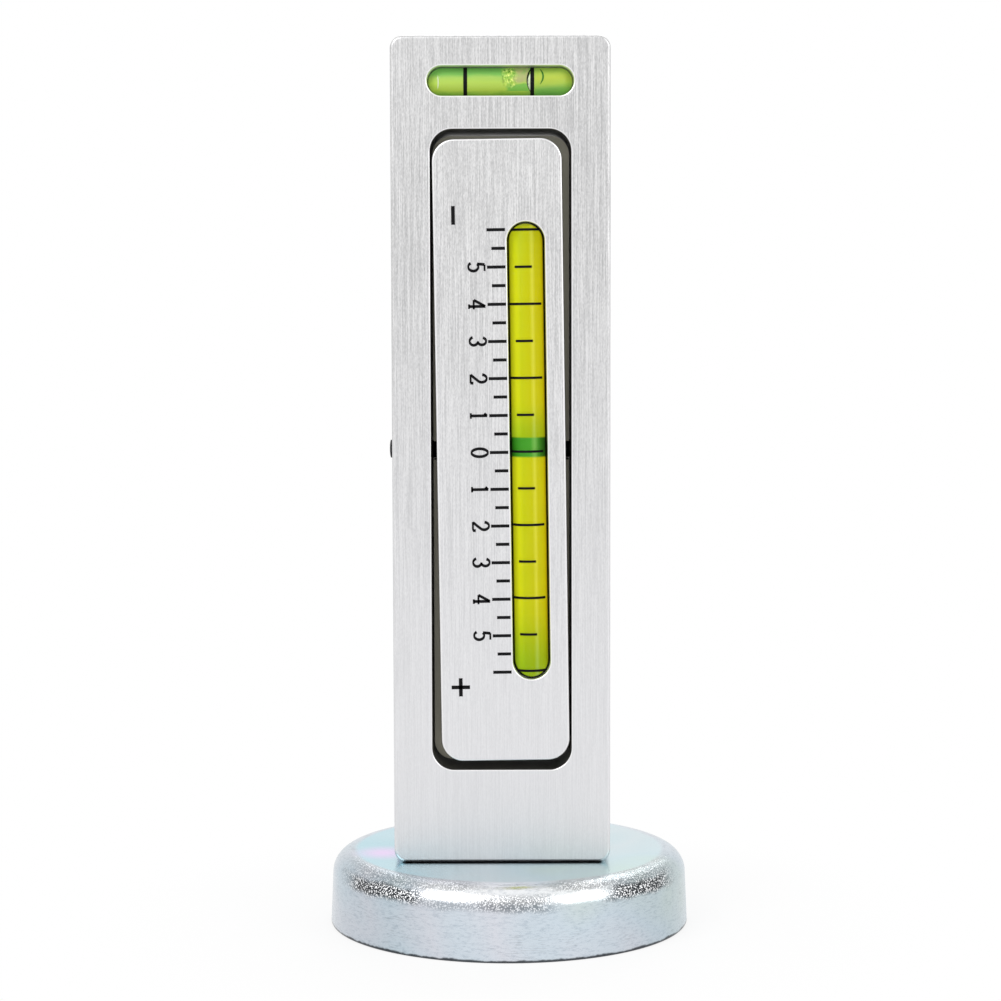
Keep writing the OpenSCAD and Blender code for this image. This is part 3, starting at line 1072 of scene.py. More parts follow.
@dataclass(frozen=True)
class GreenSpirit(Spirit):
    """The cross vial's liquid: lime, with painted shade as a greener band along its top, and below at its
    right.
    """

    def hue(self, tree: Tree, along: object, up: object) -> Socket:
        """Gives the liquid's colour.

        Args:
            tree: The material's tree.
            along: The place along the vial, from its middle.
            up: The height above its axis.

        Returns:
            The colour, with the painted shade line along the slot's outline.
        """
        share = tree.maths("ADD", tree.maths("MULTIPLY", up, 0.5 / self.radius), 0.5)
        sway = tree.maths("MULTIPLY", tree.maths("SUBTRACT", tree.noise((260.0, 260.0, 900.0)), 0.5), 0.2)
        share = tree.maths("ADD", share, sway)
        # The ramps paint shade: greener along the top, and at the right also along the bottom.
        left = tree.ramp(
            share,
            [
                (0.0, paint(126, 164, 70)),
                (0.16, paint(176, 194, 90)),
                (0.45, paint(180, 202, 100)),
                (0.62, paint(164, 192, 104)),
                (0.74, paint(126, 178, 98)),
                (1.0, paint(112, 170, 96)),
            ],
        )
        right = tree.ramp(
            share,
            [
                (0.0, paint(104, 160, 84)),
                (0.22, paint(134, 178, 92)),
                (0.40, paint(172, 192, 88)),
                (0.62, paint(178, 190, 84)),
                (0.88, paint(162, 186, 90)),
                (1.0, paint(150, 176, 84)),
            ],
        )
        colour = tree.mixed(tree.step(along, 3.6 * MM, 6.4 * MM), left, right)
        return self.slot_edge_shaded(tree, colour, along, up, 0.15 * MM)

    def build(self) -> Material:
        """Makes the material."""
        tree = Tree(self.name)
        along = tree.maths("SUBTRACT", tree.place_part("X"), self.centre[0])
        up = tree.maths("SUBTRACT", tree.place_part("Z"), self.centre[2])
        return self.end(tree, self.hue(tree, along, up))


@dataclass(frozen=True)
class Air:
    """A bubble in a long vial: as clear as the wall before it, with a gloss at its rim."""

    name: str
    tint: Colour = (0.90, 0.92, 0.62)
    fresnel_ior: float = 1.33

    def build(self) -> Material:
        """Makes the material."""
        tree = Tree(self.name)
        clear = tree.add("ShaderNodeBsdfTransparent", {"Color": (*self.tint, 1.0)})
        rim = tree.add("ShaderNodeBsdfGlossy", {"Color": (0.95, 1.0, 0.85, 1.0), "Roughness": 0.05})
        share = tree.add("ShaderNodeFresnel", {"IOR": self.fresnel_ior}).outputs[0]
        return tree.finish_mix(share, clear, rim)


@dataclass(frozen=True)
class BrokenAir(GreenSpirit):
    """The cross vial's bubble: painted bright and dark glints at its left, a pale tan patch, green below."""

    tan: Colour = paint(174, 172, 128)
    green: Colour = paint(112, 176, 88)

    def build(self) -> Material:
        """Makes the material.

        Returns:
            The liquid's own hue, with the painted glints and the two patches laid over it, so that the
            bubble's ends don't show as edges.
        """
        tree = Tree(self.name)
        along = tree.maths("SUBTRACT", tree.place_part("X"), self.centre[0])
        up = tree.maths("SUBTRACT", tree.place_part("Z"), self.centre[2])
        colour = self.hue(tree, along, up)
        loose_x = tree.wobble(along, 800.0, 0.9 * MM)
        loose_z = tree.wobble(up, 650.0, 0.8 * MM)

        below = tree.product(
            tree.between(loose_x, 1.2 * MM, 4.5 * MM, 0.4 * MM),
            tree.between(loose_z, -2.0 * MM, -0.5 * MM, 0.3 * MM),
        )
        colour = tree.mixed(tree.product(below, 0.8), colour, self.green)
        above = tree.product(
            tree.between(loose_x, 2.3 * MM, 6.0 * MM, 0.5 * MM),
            tree.inverse(tree.step(along, 4.3 * MM, 4.8 * MM)),
            tree.between(loose_z, -0.2 * MM, 2.6 * MM, 0.4 * MM),
        )
        mottle = tree.step(tree.noise((1300.0, 1300.0, 1300.0)), 0.35, 0.65)
        colour = tree.mixed(tree.product(above, tree.span(mottle, 0.55, 1.0)), colour, self.tan)
        # Painted light: bright and dark glints at the bubble's left end.
        glint_noise = tree.noise((2600.0, 2600.0, 1700.0), 2.0, 0.6)
        painted_glints = tree.ramp(
            glint_noise,
            [
                (0.36, paint(40, 62, 20)),
                (0.42, paint(128, 172, 74)),
                (0.54, paint(176, 200, 96)),
                (0.62, paint(238, 238, 160)),
            ],
        )
        glint_area = tree.product(
            tree.between(loose_x, 0.5 * MM, 2.3 * MM, 1.0 * MM),
            tree.between(loose_z, -0.6 * MM, 2.2 * MM, 0.7 * MM),
        )
        colour = tree.mixed(tree.product(glint_area, 0.9), colour, painted_glints)
        return self.end(tree, colour)


# ---------------------------------------------------------------------------------------------
# Sub-assemblies
# ---------------------------------------------------------------------------------------------


def dress(piece: Piece, material: Material, slot: str) -> None:
    """Gives a piece its one material.

    Args:
        piece: The piece.
        material: The material.
        slot: The record's slot that it stands for.
    """
    piece.data.materials.clear()
    piece.data.materials.append(material)
    LOG.info("%s: %s", piece.name, slot)


def dress_parts(piece: Piece, parts: list[tuple[Material, np.ndarray]]) -> None:
    """Gives some faces of a piece other materials.

    Args:
        piece: The piece, which has its first material.
        parts: Each further material, and for each face whether it takes it.
    """
    index = np.zeros(len(piece.data.polygons), dtype=np.int32)
    for number, (material, inside) in enumerate(parts, 1):
        piece.data.materials.append(material)
        index[inside] = number
    piece.data.polygons.foreach_set("material_index", index)
    piece.data.update()


def beyond(across: np.ndarray, up: np.ndarray, width: float, height: float, radius: float) -> np.ndarray:
    """How far points lie outside a rounded rectangle about the origin, or inside where negative.

    Args:
        across: The points' places across.
        up: Their heights.
        width: The rectangle's width.
        height: Its height.
        radius: The radius of its corners.

    Returns:
        The distances.
    """
    side_x = np.abs(across) - (width / 2.0 - radius)
    side_z = np.abs(up) - (height / 2.0 - radius)
    outside = np.hypot(np.maximum(side_x, 0.0), np.maximum(side_z, 0.0))
    return outside + np.minimum(np.maximum(side_x, side_z), 0.0) - radius


def face_middles(piece: Piece) -> np.ndarray:
    """The middle of each face of a piece, as an array of n by 3."""
    middles = np.empty(3 * len(piece.data.polygons))
    piece.data.polygons.foreach_get("center", middles)
    return middles.reshape(-1, 3)


@dataclass
class MagnetBase:
    """The steel cup with its magnet, pole, resin and fasteners."""

    rim_r: float = 30.0 * MM
    cup_r: float = 29.65 * MM
    height: float = 12.1 * MM
    shoulder_r: float = 3.6 * MM
    wall: float = 2.4 * MM
    top: float = 3.2 * MM
    hole_r: float = 3.02 * MM
    rim_ease: float = 0.35 * MM
    turns: int = 256

    def cup_profile(self) -> np.ndarray:
        """The cup's closed outline.

        The outside rises from the eased rim with a slight draft to the shoulder, a quarter
        circle, and runs in to the screw's hole. The inside is a plain cylinder under a flat top.

        Returns:
            The outline, radius and height, from the rim's inner edge round to the same point.
        """
        cavity_r = self.cup_r - self.wall
        shoulder_z = self.height - self.shoulder_r
        rim_radii, shoulder_radii = (self.rim_ease, self.rim_ease), (self.shoulder_r, self.shoulder_r)
        rim = arc((self.rim_r - self.rim_ease, self.rim_ease), rim_radii, -90.0, 0.0, 6)
        shoulder = arc((self.cup_r - self.shoulder_r, shoulder_z), shoulder_radii, 0.0, 90.0, 24)
        inside = np.array(
            [
                [self.hole_r, self.height],
                [self.hole_r, self.height - self.top],
                [cavity_r, self.height - self.top],
                [cavity_r, 0.0],
            ]
        )
        return np.concatenate([rim, shoulder, inside, rim[:1]])

    def build(self, zinc: Material, palette: dict[str, Material]) -> None:
        """Makes and dresses the base's pieces.

        Args:
            zinc: The finish of the cup.
            palette: The other finishes, by the record's slot.
        """
        profile = self.cup_profile()
        points, faces = lathe(profile, self.turns, False)
        cup = mesh_piece("magnet_cup_shell", points, faces, BLOCK_CREASE)
        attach(cup, "tower")
        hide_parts("magnet_cup")
        dress(cup, zinc, "zinc_steel")
        for node, slot in (
            ("ring_magnet", "ferrite"),
            ("centre_pole", "pole_steel"),
            ("potting_resin", "resin"),
            ("base_screw", "fastener_steel"),
            ("lock_washer", "fastener_steel"),
            ("dowel_pins", "fastener_steel"),
        ):
            dress(bpy.data.objects[node], palette[slot], slot)


@dataclass(frozen=True)
class ThinLine:
    """A curved line on the cross vial's liquid, in millimetres from the vial's middle.

    Its tips are at x and at the heights low and high, its middle bows to the right by its bulge,
    and its pen is half its width in the middle.
    """

    name: str
    x: float
    bulge: float
    low: float
    high: float
    pen: float
    finish: str
    rides_on: str
    slot: str


# The bubble's edge is a painted shade line, and the glints are painted highlights.
CROSS_VIAL_LINES = (
    ThinLine("cross_bubble_edge", 5.0, -0.62, -1.9, 2.1, 0.15, "rim_dark", "cross_air", "bubble"),
    ThinLine("cross_bubble_glint", 4.92, -0.31, -1.65, 1.2, 0.19, "rim_bright", "cross_air", "bubble"),
    ThinLine("cross_vial_streak", 6.35, 0.55, -0.6, 2.0, 0.13, "rim_green", "tower", "cross_liquid"),
    ThinLine("cross_vial_end_glint", -10.1, 0.1, -1.3, 0.9, 0.06, "rim_bright", "tower", "cross_liquid"),
)


@dataclass
class Tower:
    """The milled aluminium tower, its cross pin and its cross vial."""

    vial_centre: Place
    pivot: np.ndarray
    middle: Place = (-1.1 * MM, 0.0, 79.4 * MM)
    width: float = 35.5 * MM
    depth: float = 22.9 * MM
    height: float = 134.6 * MM
    corner_r: float = 2.0 * MM
    edge_r: float = 0.5 * MM
    window_w: float = 22.8 * MM
    window_h: float = 104.3 * MM
    window_r: float = 3.6 * MM
    window_ease: float = 0.2 * MM
    slot_ease: float = 0.25 * MM
    slot_len: float = 23.65 * MM
    slot_w: float = 4.76 * MM
    slot_depth: float = 6.4 * MM
    screw_x: float = -14.575 * MM
    screw_r: float = 1.52 * MM
    screw_depth: float = 9.9 * MM
    hole_ease: float = 0.2 * MM
    pin_r: float = 1.5 * MM
    pin_proud: float = 0.65 * MM
    pin_dome: float = 0.2 * MM
    pin_cover: float = 1.0 * MM
    pin_end_r: float = 0.2 * MM
    pin_turns: int = 64
    tube_r: float = 2.28 * MM
    tube_wall: float = 0.5 * MM
    spirit_r: float = 2.24 * MM
    vial_half: float = 11.725 * MM
    bubble_x: float = 3.3 * MM
    bubble_len: float = 7.2 * MM
    bubble_r: float = 2.235 * MM
    bubble_end_r: float = 0.5 * MM
    bubble_up: float = 0.012 * MM
    bubble_out: float = 0.020 * MM
    line_film: float = 0.008 * MM
    line_lift: float = 0.024 * MM

    def body(self) -> Piece:
        """Makes the tower: a block with a window, the cross vial's slot and the set screw's hole.

        Returns:
            The piece.
        """
        pivot_up = float(self.pivot[2]) - self.middle[2]
        slot_up = self.vial_centre[2] - self.middle[2]
        window = Pocket(
            (0.0, pivot_up),
            self.window_w,
            self.window_h,
            self.window_r,
            self.depth / 2.0,
            self.window_ease,
            floor=False,
        )
        slot = Pocket(
            (0.0, slot_up), self.slot_len, self.slot_w, self.slot_w / 2.0, self.slot_depth, self.slot_ease
        )
        hole_w = 2 * self.screw_r
        hole = Pocket(
            (self.screw_x, pivot_up), hole_w, hole_w, self.screw_r, self.screw_depth, self.hole_ease
        )
        block = Block(
            self.width, self.depth, self.height, self.corner_r, self.edge_r, (slot,), (hole,), window=window
        )
        points, faces = block.surface()
        return mesh_piece("tower_body", points + np.array(self.middle), faces, BLOCK_CREASE)

    def pin(self) -> Piece:
        """Makes the cross pin: a rod along X whose end at the left is a low dome.

        The dome is a quarter of an ellipse, turned about the pin's axis.

        Returns:
            The piece.
        """
        left = self.middle[0] - self.width / 2.0 - self.pin_proud
        right = self.middle[0] + self.width / 2.0 - self.pin_cover
        tip = 0.02 * self.pin_r
        dome = arc((tip, left), (self.pin_r - tip, -self.pin_dome), 90.0, 0.0, 14)
        end_r = self.pin_end_r
        end = arc((self.pin_r - end_r, right - end_r), (end_r, end_r), 0.0, 90.0, 5)
        profile = np.concatenate([dome, end, [[tip, right]]])
        points, faces = lathe(profile, self.pin_turns)
        turned = np.stack([points[:, 2], points[:, 1], -points[:, 0]], axis=1)
        placed = turned + self.pivot * np.array([0.0, 1.0, 1.0])
        return mesh_piece("cross_pin", placed, faces, ROUND_CREASE)

    def finishes(self, body: Piece) -> tuple[np.ndarray, np.ndarray, np.ndarray]:
        """Says where the tower's other finishes go.

        Args:
            body: The tower.

        Returns:
            For each face, whether it lies in the window's wall, painted in shade, in the slot's, painted
            with the liquid's green reflection, or on an eased rim.
        """
        x, y, z = (face_middles(body) - np.array([self.middle[0], 0.0, self.pivot[2]])).T
        depth = self.depth / 2.0 - np.abs(y)
        window = beyond(x, z, self.window_w, self.window_h, self.window_r)
        slot_z = z + self.pivot[2] - self.vial_centre[2]
        slot = np.where(y < 0.0, beyond(x, slot_z, self.slot_len, self.slot_w, self.slot_w / 2.0), 1.0)
        rim = (depth > HOLD / 10.0) & (depth < self.slot_ease)
        rim &= (np.abs(window) < self.window_ease + HOLD) | (np.abs(slot) < self.slot_ease + HOLD)
        shaded_walls = (np.abs(window) < HOLD) & (depth > self.window_ease)
        return shaded_walls, (np.abs(slot) < HOLD) & (depth > self.slot_ease), rim

    def rod(
        self, name: str, radius: float, low: float, high: float, end_r: float, shift: Point = (0.0, 0.0)
    ) -> Piece:
        """Makes a rod with round ends along X in the cross vial.

        Args:
            name: The piece's name.
            radius: Its radius.
            low: The lower x of its end, from the vial's middle.
            high: The higher x of its end.
            end_r: How far the rounding of each end reaches.
            shift: How far its axis lies from the vial's, along Y and Z.

        Returns:
            The piece.
        """
        points, faces = lathe(rod_profile(radius, low, high, end_r), ROUND_TURNS)
        turned = np.stack([points[:, 2], points[:, 1] + shift[0], -points[:, 0] + shift[1]], axis=1)
        return mesh_piece(name, turned + np.array(self.vial_centre), faces, ROUND_CREASE)

    def arc_line(self, line: ThinLine) -> Piece:
        """Makes a thin curved line on the cross vial's liquid, such as the painted shade at the edge of its
        bubble.

        The line runs upwards and bows along X by its bulge times 1 - u squared, for u from -1 to
        1, and narrows to its tips. It is then laid on a cylinder just outside the liquid.

        Args:
            line: The line's place, size and looks.

        Returns:
            The piece.
        """
        share = np.linspace(-1.0, 1.0, 25)
        middle, half = (line.low + line.high) / 2.0, (line.high - line.low) / 2.0
        path = np.stack([line.x + line.bulge * (1.0 - share**2), middle + half * share], axis=1)
        taper = line.pen * (1.05 - np.abs(share) ** 3)
        points, faces = ribbon(path * MM, taper * MM, self.line_film)
        outside = self.spirit_r + self.line_lift
        points[:, 1] -= np.sqrt(outside**2 - points[:, 2] ** 2)
        return mesh_piece(line.name, points + np.array(self.vial_centre), faces, None)

    def tube(self) -> Piece:
        """Makes the cross vial's ampoule: an outer capsule and, turned inside out, an inner one.

        Returns:
            The piece.
        """
        outer = lathe(rod_profile(self.tube_r, -self.vial_half, self.vial_half, self.tube_r), ROUND_TURNS)
        bore_r, bore_half = self.tube_r - self.tube_wall, self.vial_half - self.tube_wall
        points, faces = lathe(rod_profile(bore_r, -bore_half, bore_half, bore_r), ROUND_TURNS)
        points, faces = joined([outer, (points, flipped(faces))])
        turned = np.stack([points[:, 2], points[:, 1], -points[:, 0]], axis=1)
        return mesh_piece("cross_vial_ampoule", turned + np.array(self.vial_centre), faces, ROUND_CREASE)

    def build(self, aluminium: Material, palette: dict[str, Material]) -> None:
        """Makes and dresses the tower's pieces.

        Args:
            aluminium: The finish of the tower.
            palette: The other finishes, by the record's slot.
        """
        body = self.body()
        spirit_half = self.vial_half - (self.tube_r - self.spirit_r)
        spirit = self.rod("cross_vial_spirit", self.spirit_r, -spirit_half, spirit_half, self.spirit_r)
        half = self.bubble_len / 2.0
        bubble = self.rod(
            "cross_vial_bubble",
            self.bubble_r,
            self.bubble_x - half,
            self.bubble_x + half,
            self.bubble_end_r,
            (-self.bubble_out, self.bubble_up),
        )
        made = (
            (body, "tower", "frame", aluminium, "brushed_aluminium"),
            (self.pin(), "tower", "pivot_pin", palette["black_steel"], "black_steel"),
            (self.tube(), "tower", "cross_vial_tube", palette["vial_tube"], "vial_tube"),
            (spirit, "tower", "cross_vial_liquid", palette["cross_liquid"], "cross_liquid"),
            (bubble, "cross_air", "cross_bubble", palette["broken_air"], "bubble"),
        )
        for piece, rides_on, node, material, slot in made:
            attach(piece, rides_on)
            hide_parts(node)
            dress(piece, material, slot)
        shaded_walls, slot_walls, rims = self.finishes(body)
        parts = [("window_wall", shaded_walls), ("slot_wall", slot_walls), ("cut_edge", rims)]
        dress_parts(body, [(palette[finish], faces) for finish, faces in parts])
        for line in CROSS_VIAL_LINES:
            drawn = self.arc_line(line)
            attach(drawn, line.rides_on)
            dress(drawn, palette[line.finish], line.slot)
        for node, slot in (
            ("pivot_set_screw", "black_steel"),
            ("cross_vial_marks", "print_black"),
            ("cross_vial_bedding", "bedding"),
        ):
            dress(bpy.data.objects[node], palette[slot], slot)


@dataclass
class SwivelBar:
    """The bar with a vial and a scale on each face, which turns on the cross pin."""

    pivot: np.ndarray
    lean: float
    half_depth: float = 11.45 * MM
    width: float = 21.0 * MM
    half_height: float = 50.645 * MM
    corner_r: float = 3.6 * MM
    edge_r: float = 0.3 * MM
    slot_w: float = 6.1 * MM
    slot_len: float = 74.49 * MM
    slot_ease: float = 0.25 * MM
    slot_floor: float = 0.8 * MM
    bush_hole_r: float = 2.67 * MM
    bush_len: float = 2.6 * MM
    plug_hole_r: float = 3.02 * MM
    plug_hole_depth: float = 1.0 * MM
    hole_ease: float = 0.1 * MM
    rib_w: float = 2.15 * MM
    rib_out: float = 11.15 * MM
    rib_d: float = 11.0 * MM
    rib_top: float = 51.36 * MM
    rib_corner_r: float = 3.0 * MM
    rib_start: float = 1.53 * MM
    tube_r: float = 3.0 * MM
    tube_in_r: float = 2.4 * MM
    tube_half: float = 44.945 * MM
    vial_x: float = 4.47 * MM
    vial_y: float = -7.45 * MM
    liquid_r: float = 2.96 * MM
    liquid_half: float = 41.9 * MM
    liquid_end_r: float = 0.3 * MM
    bubble_low: float = 34.7 * MM
    bubble_high: float = 41.6 * MM
    bubble_r: float = 2.8 * MM
    bubble_end_r: float = 2.0 * MM
    bubble_proud: float = 0.01 * MM
    degree: float = 6.0 * MM
    digit_low: float = -4.9 * MM
    digit_h: float = 2.8 * MM
    digit_w: float = 1.7 * MM
    last_digit: int = 5
    sign_x: float = -7.2 * MM
    sign_z: float = 38.4 * MM
    sign_half: float = 1.5 * MM

    def leant(self, points: np.ndarray) -> np.ndarray:
        """Leans points about Y, with the top towards -X, and moves their origin to the pivot."""
        sine, cosine = math.sin(self.lean), math.cos(self.lean)
        x, y, z = points.T
        return np.stack([x * cosine - z * sine, y, x * sine + z * cosine], axis=1) + self.pivot

    def upright(self, points: np.ndarray) -> np.ndarray:
        """Turns points of the row's frame back to the bar's own, with their origin at the pivot."""
        sine, cosine = math.sin(self.lean), math.cos(self.lean)
        x, y, z = (points - self.pivot).T
        return np.stack([x * cosine + z * sine, y, z * cosine - x * sine], axis=1)

    def body(self) -> Piece:
        """Makes the bar: a block with a vial slot in each face, bush holes and plug holes.

        Returns:
            The piece.
        """
        slots = [
            Pocket(
                (face.value * self.vial_x, 0.0),
                self.slot_w,
                self.slot_len,
                self.slot_w / 2.0,
                self.half_depth - self.slot_floor,
                self.slot_ease,
            )
            for face in Face
        ]
        bush_w, plug_w = 2 * self.bush_hole_r, 2 * self.plug_hole_r
        bush = Pocket((0.0, 0.0), bush_w, bush_w, self.bush_hole_r, self.bush_len, self.hole_ease)
        plugs = tuple(
            Pocket(
                (face.value * self.vial_x, face.value * self.vial_y),
                plug_w,
                plug_w,
                self.plug_hole_r,
                self.plug_hole_depth,
                self.hole_ease,
            )
            for face in Face
        )
        block = Block(
            self.width,
            2 * self.half_depth,
            2 * self.half_height,
            self.corner_r,
            self.edge_r,
            (slots[0],),
            (slots[1],),
            (bush,),
            plugs,
        )
        points, faces = block.surface()
        return mesh_piece("bar_body", self.leant(points), faces, BLOCK_CREASE)

    def guides(self) -> Piece:
        """Makes the guide ribs that close the gap round the bar, above and below the cross pin.

        Each is a rectangle carried up one side, round two corners and down the other. They stand
        upright in the window's sides, so they aren't leant with the bar.

        Returns:
            The piece.
        """
        half = self.rib_w / 2.0
        corner = self.rib_corner_r - half
        side, level = self.rib_out - self.rib_corner_r, self.rib_top - self.rib_corner_r
        path = np.concatenate(
            [
                [[self.rib_out - half, self.rib_start]],
                arc((side, level), (corner, corner), 0.0, 90.0, 12),
                arc((-side, level), (corner, corner), 90.0, 180.0, 12),
                [[half - self.rib_out, self.rib_start]],
            ]
        )
        halves = np.full(len(path), half)
        upper, lower = (ribbon(path * np.array([1.0, up]), halves, self.rib_d) for up in (1.0, -1.0))
        points, faces = joined([upper, lower])
        forward = np.array([0.0, self.rib_d / 2.0, 0.0])
        return mesh_piece("bar_guides", points + forward + self.pivot, faces, BLOCK_CREASE)

    def finishes(self, body: Piece) -> tuple[np.ndarray, np.ndarray]:
        """Says where the bar's other finishes go.

        Args:
            body: The bar.

        Returns:
            For each face, whether it lies on a side, painted in shade, or on an eased rim.
        """
        x, y, z = self.upright(face_middles(body)).T
        depth = self.half_depth - np.abs(y)
        outline = beyond(x, z, self.width, 2.0 * self.half_height, self.corner_r)
        slot = beyond(x + np.sign(y) * self.vial_x, z, self.slot_w, self.slot_len, self.slot_w / 2.0)
        rim = (depth > HOLD / 10.0) & (depth < self.edge_r)
        rim &= (outline > -self.edge_r - HOLD) | (np.abs(slot) < self.slot_ease + HOLD)
        sides = (np.abs(x) > self.width / 2.0 - self.corner_r) & (outline > -HOLD)
        return sides & (depth > self.edge_r), rim

    def tube(self, face: Face) -> Piece:
        """Makes one face's vial tube, a plain pipe whose closed outline is turned about its axis.

        Args:
            face: The face of the bar.

        Returns:
            The piece.
        """
        outline = np.array(
            [
                [self.tube_in_r, -self.tube_half],
                [self.tube_r, -self.tube_half],
                [self.tube_r, self.tube_half],
                [self.tube_in_r, self.tube_half],
                [self.tube_in_r, -self.tube_half],
            ]
        )
        points, faces = lathe(outline, ROUND_TURNS, False)
        placed = self.to_row(points + np.array([self.vial_x, self.vial_y, 0.0]), face)
        return mesh_piece(f"{face.name.lower()}_vial_pipe", placed, faces, ROUND_CREASE)

    def to_row(self, points: np.ndarray, face: Face) -> np.ndarray:
        """Carries points from a face of the bar to the row's frame.

        The points' origin is the scale's zero on the bar's middle. They are turned half round Z
        on the rear face, leant about Y and moved to the pivot.

        Args:
            points: An array of n by 3.
            face: The face of the bar.

        Returns:
            The moved points.
        """
        turn = np.array([float(face.value), float(face.value), 1.0])
        return self.leant(points * turn)

    def strokes(self, digit: int) -> list[np.ndarray]:
        """The pen strokes of a plain digit, in a box one wide and one high.

        Args:
            digit: A number from 0 to 5.

        Returns:
            Each stroke's points, as an array of n by 2.
        """

        def line(*corners: Point) -> np.ndarray:
            return np.array(corners)

        forms = {
            0: [arc((0.5, 0.5), (0.38, 0.47), 90.0, 450.0, 40)],
            1: [
                line((0.5, 0.0), (0.5, 0.5), (0.5, 0.97)),
                line((0.52, 0.95), (0.27, 0.80)),
                line((0.24, 0.02), (0.76, 0.02)),
            ],
            2: [
                arc((0.47, 0.69), (0.36, 0.28), 175.0, -38.0, 24),
                line((0.755, 0.52), (0.42, 0.26), (0.10, 0.04)),
                line((0.08, 0.04), (0.90, 0.04)),
                line((0.88, 0.03), (0.92, 0.20)),
            ],
            3: [
                arc((0.46, 0.73), (0.34, 0.24), 165.0, -90.0, 24),
                arc((0.45, 0.26), (0.38, 0.24), 90.0, -165.0, 24),
            ],
            4: [
                line((0.68, 0.0), (0.68, 0.5), (0.68, 0.97)),
                line((0.68, 0.95), (0.35, 0.60), (0.07, 0.29)),
                line((0.06, 0.29), (0.95, 0.29)),
                line((0.47, 0.02), (0.90, 0.02)),
            ],
            5: [
                line((0.86, 0.95), (0.24, 0.95)),
                line((0.25, 0.95), (0.21, 0.75), (0.18, 0.52)),
                arc((0.45, 0.30), (0.40, 0.29), 130.0, -150.0, 28),
            ],
        }
        return forms[digit]

    def digit_parts(self) -> list[Surface]:
        """The ribbons of all the numbers, one at each whole degree up to the last on both sides.

        A digit stands with its top towards +X. The pen is broad, so a stroke is widest where it
        runs along the digit's height.

        Returns:
            The surfaces, on the front face with its plane at y = 0.
        """
        pen_thin, pen_broad = 0.155 * MM, 0.235 * MM
        parts = []
        for step in range(-self.last_digit, self.last_digit + 1):
            for stroke in self.strokes(abs(step)):
                x = self.digit_low + stroke[:, 1] * self.digit_h
                z = step * self.degree + (0.5 - stroke[:, 0]) * self.digit_w
                path = np.stack([x, z], axis=1)
                along = np.gradient(path, axis=0)
                upright = np.abs(along[:, 0]) / np.linalg.norm(along, axis=1)
                parts.append(ribbon(path, pen_thin + (pen_broad - pen_thin) * upright, PRINT_FILM))
        return parts

    def sign_parts(self) -> list[Surface]:
        """The plain minus and plus signs near the ends of the scale.

        Returns:
            The surfaces, on the front face with its plane at y = 0.
        """
        pen = 0.3 * MM
        reach = self.sign_half
        x, z = self.sign_x, self.sign_z
        paths = [
            np.array([[x, z - reach], [x, z + reach]]),
            np.array([[x, -z - reach], [x, -z + reach]]),
            np.array([[x - reach, -z], [x + reach, -z]]),
        ]
        return [ribbon(path, np.full(len(path), pen), PRINT_FILM) for path in paths]

    def print_face(self, face: Face, ink: Material) -> None:
        """Prints the numbers and signs of one face.

        Args:
            face: The face of the bar.
            ink: The finish of the print.
        """
        for kind, parts in (("numbers", self.digit_parts()), ("signs", self.sign_parts())):
            points, faces = joined(parts)
            points = points - np.array([0.0, self.half_depth, 0.0])
            piece = mesh_piece(f"{face.name.lower()}_{kind}", self.to_row(points, face), faces, None)
            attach(piece, "bar")
            dress(piece, ink, "print_black")

    def fill_vial(self, face: Face, palette: dict[str, Material]) -> None:
        """Makes the liquid and the bubble of one face's vial.

        Args:
            face: The face of the bar.
            palette: The finishes, by the record's slot.
        """
        name = face.name.lower()
        axis = np.array([self.vial_x, self.vial_y, 0.0])
        rod = rod_profile(self.liquid_r, -self.liquid_half, self.liquid_half, self.liquid_end_r)
        points, faces = lathe(rod, ROUND_TURNS)
        placed = self.to_row(points + axis, face)
        liquid = mesh_piece(f"{name}_vial_spirit", placed, faces, ROUND_CREASE)
        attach(liquid, "bar")
        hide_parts(f"{name}_vial_liquid")
        dress(liquid, palette[f"{name}_liquid"], "vial_liquid")
        rod = rod_profile(self.bubble_r, self.bubble_low, self.bubble_high, self.bubble_end_r)
        points, faces = lathe(rod, ROUND_TURNS)
        forward = np.array([0.0, self.bubble_r - self.liquid_r - self.bubble_proud, 0.0])
        placed = self.to_row(points + axis + forward, face)
        bubble = mesh_piece(f"{name}_vial_bubble", placed, faces, ROUND_CREASE)
        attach(bubble, f"{name}_air")
        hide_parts(f"{name}_bubble")
        dress(bubble, palette["bubble"], "bubble")

    def build(self, aluminium: Material, palette: dict[str, Material]) -> None:
        """Makes and dresses the bar's pieces.

        Args:
            aluminium: The finish of the bar.
            palette: The other finishes, by the record's slot.
        """
        body = self.body()
        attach(body, "bar")
        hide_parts("swivel_bar")
        dress(body, aluminium, "brushed_aluminium")
        shaded_walls, rims = self.finishes(body)
        dress_parts(body, [(palette["bar_side"], shaded_walls), (palette["cut_edge"], rims)])
        guides = self.guides()
        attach(guides, "bar")
        # The guide ribs take an olive-grey painted shade.
        dress(guides, palette["guide"], "brushed_aluminium")
        dress(bpy.data.objects["bar_bushes"], palette["bush_bronze"], "bush_bronze")
        dress(bpy.data.objects["bar_end_plugs"], palette["resin"], "resin")
        for face in Face:
            name = face.name.lower()
            tube = self.tube(face)
            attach(tube, "bar")
            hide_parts(f"{name}_vial_tube")
            dress(tube, palette["vial_tube"], "vial_tube")
            for part, slot in (
                ("scale", "print_black"),
                ("vial_marks", "print_black"),
                ("vial_stoppers", "stopper"),
                ("vial_bedding", "bedding"),
            ):
                dress(bpy.data.objects[f"{name}_{part}"], palette[slot], slot)
            self.print_face(face, palette["print_black"])
            self.fill_vial(face, palette)


# ---------------------------------------------------------------------------------------------
# Stage
# ---------------------------------------------------------------------------------------------


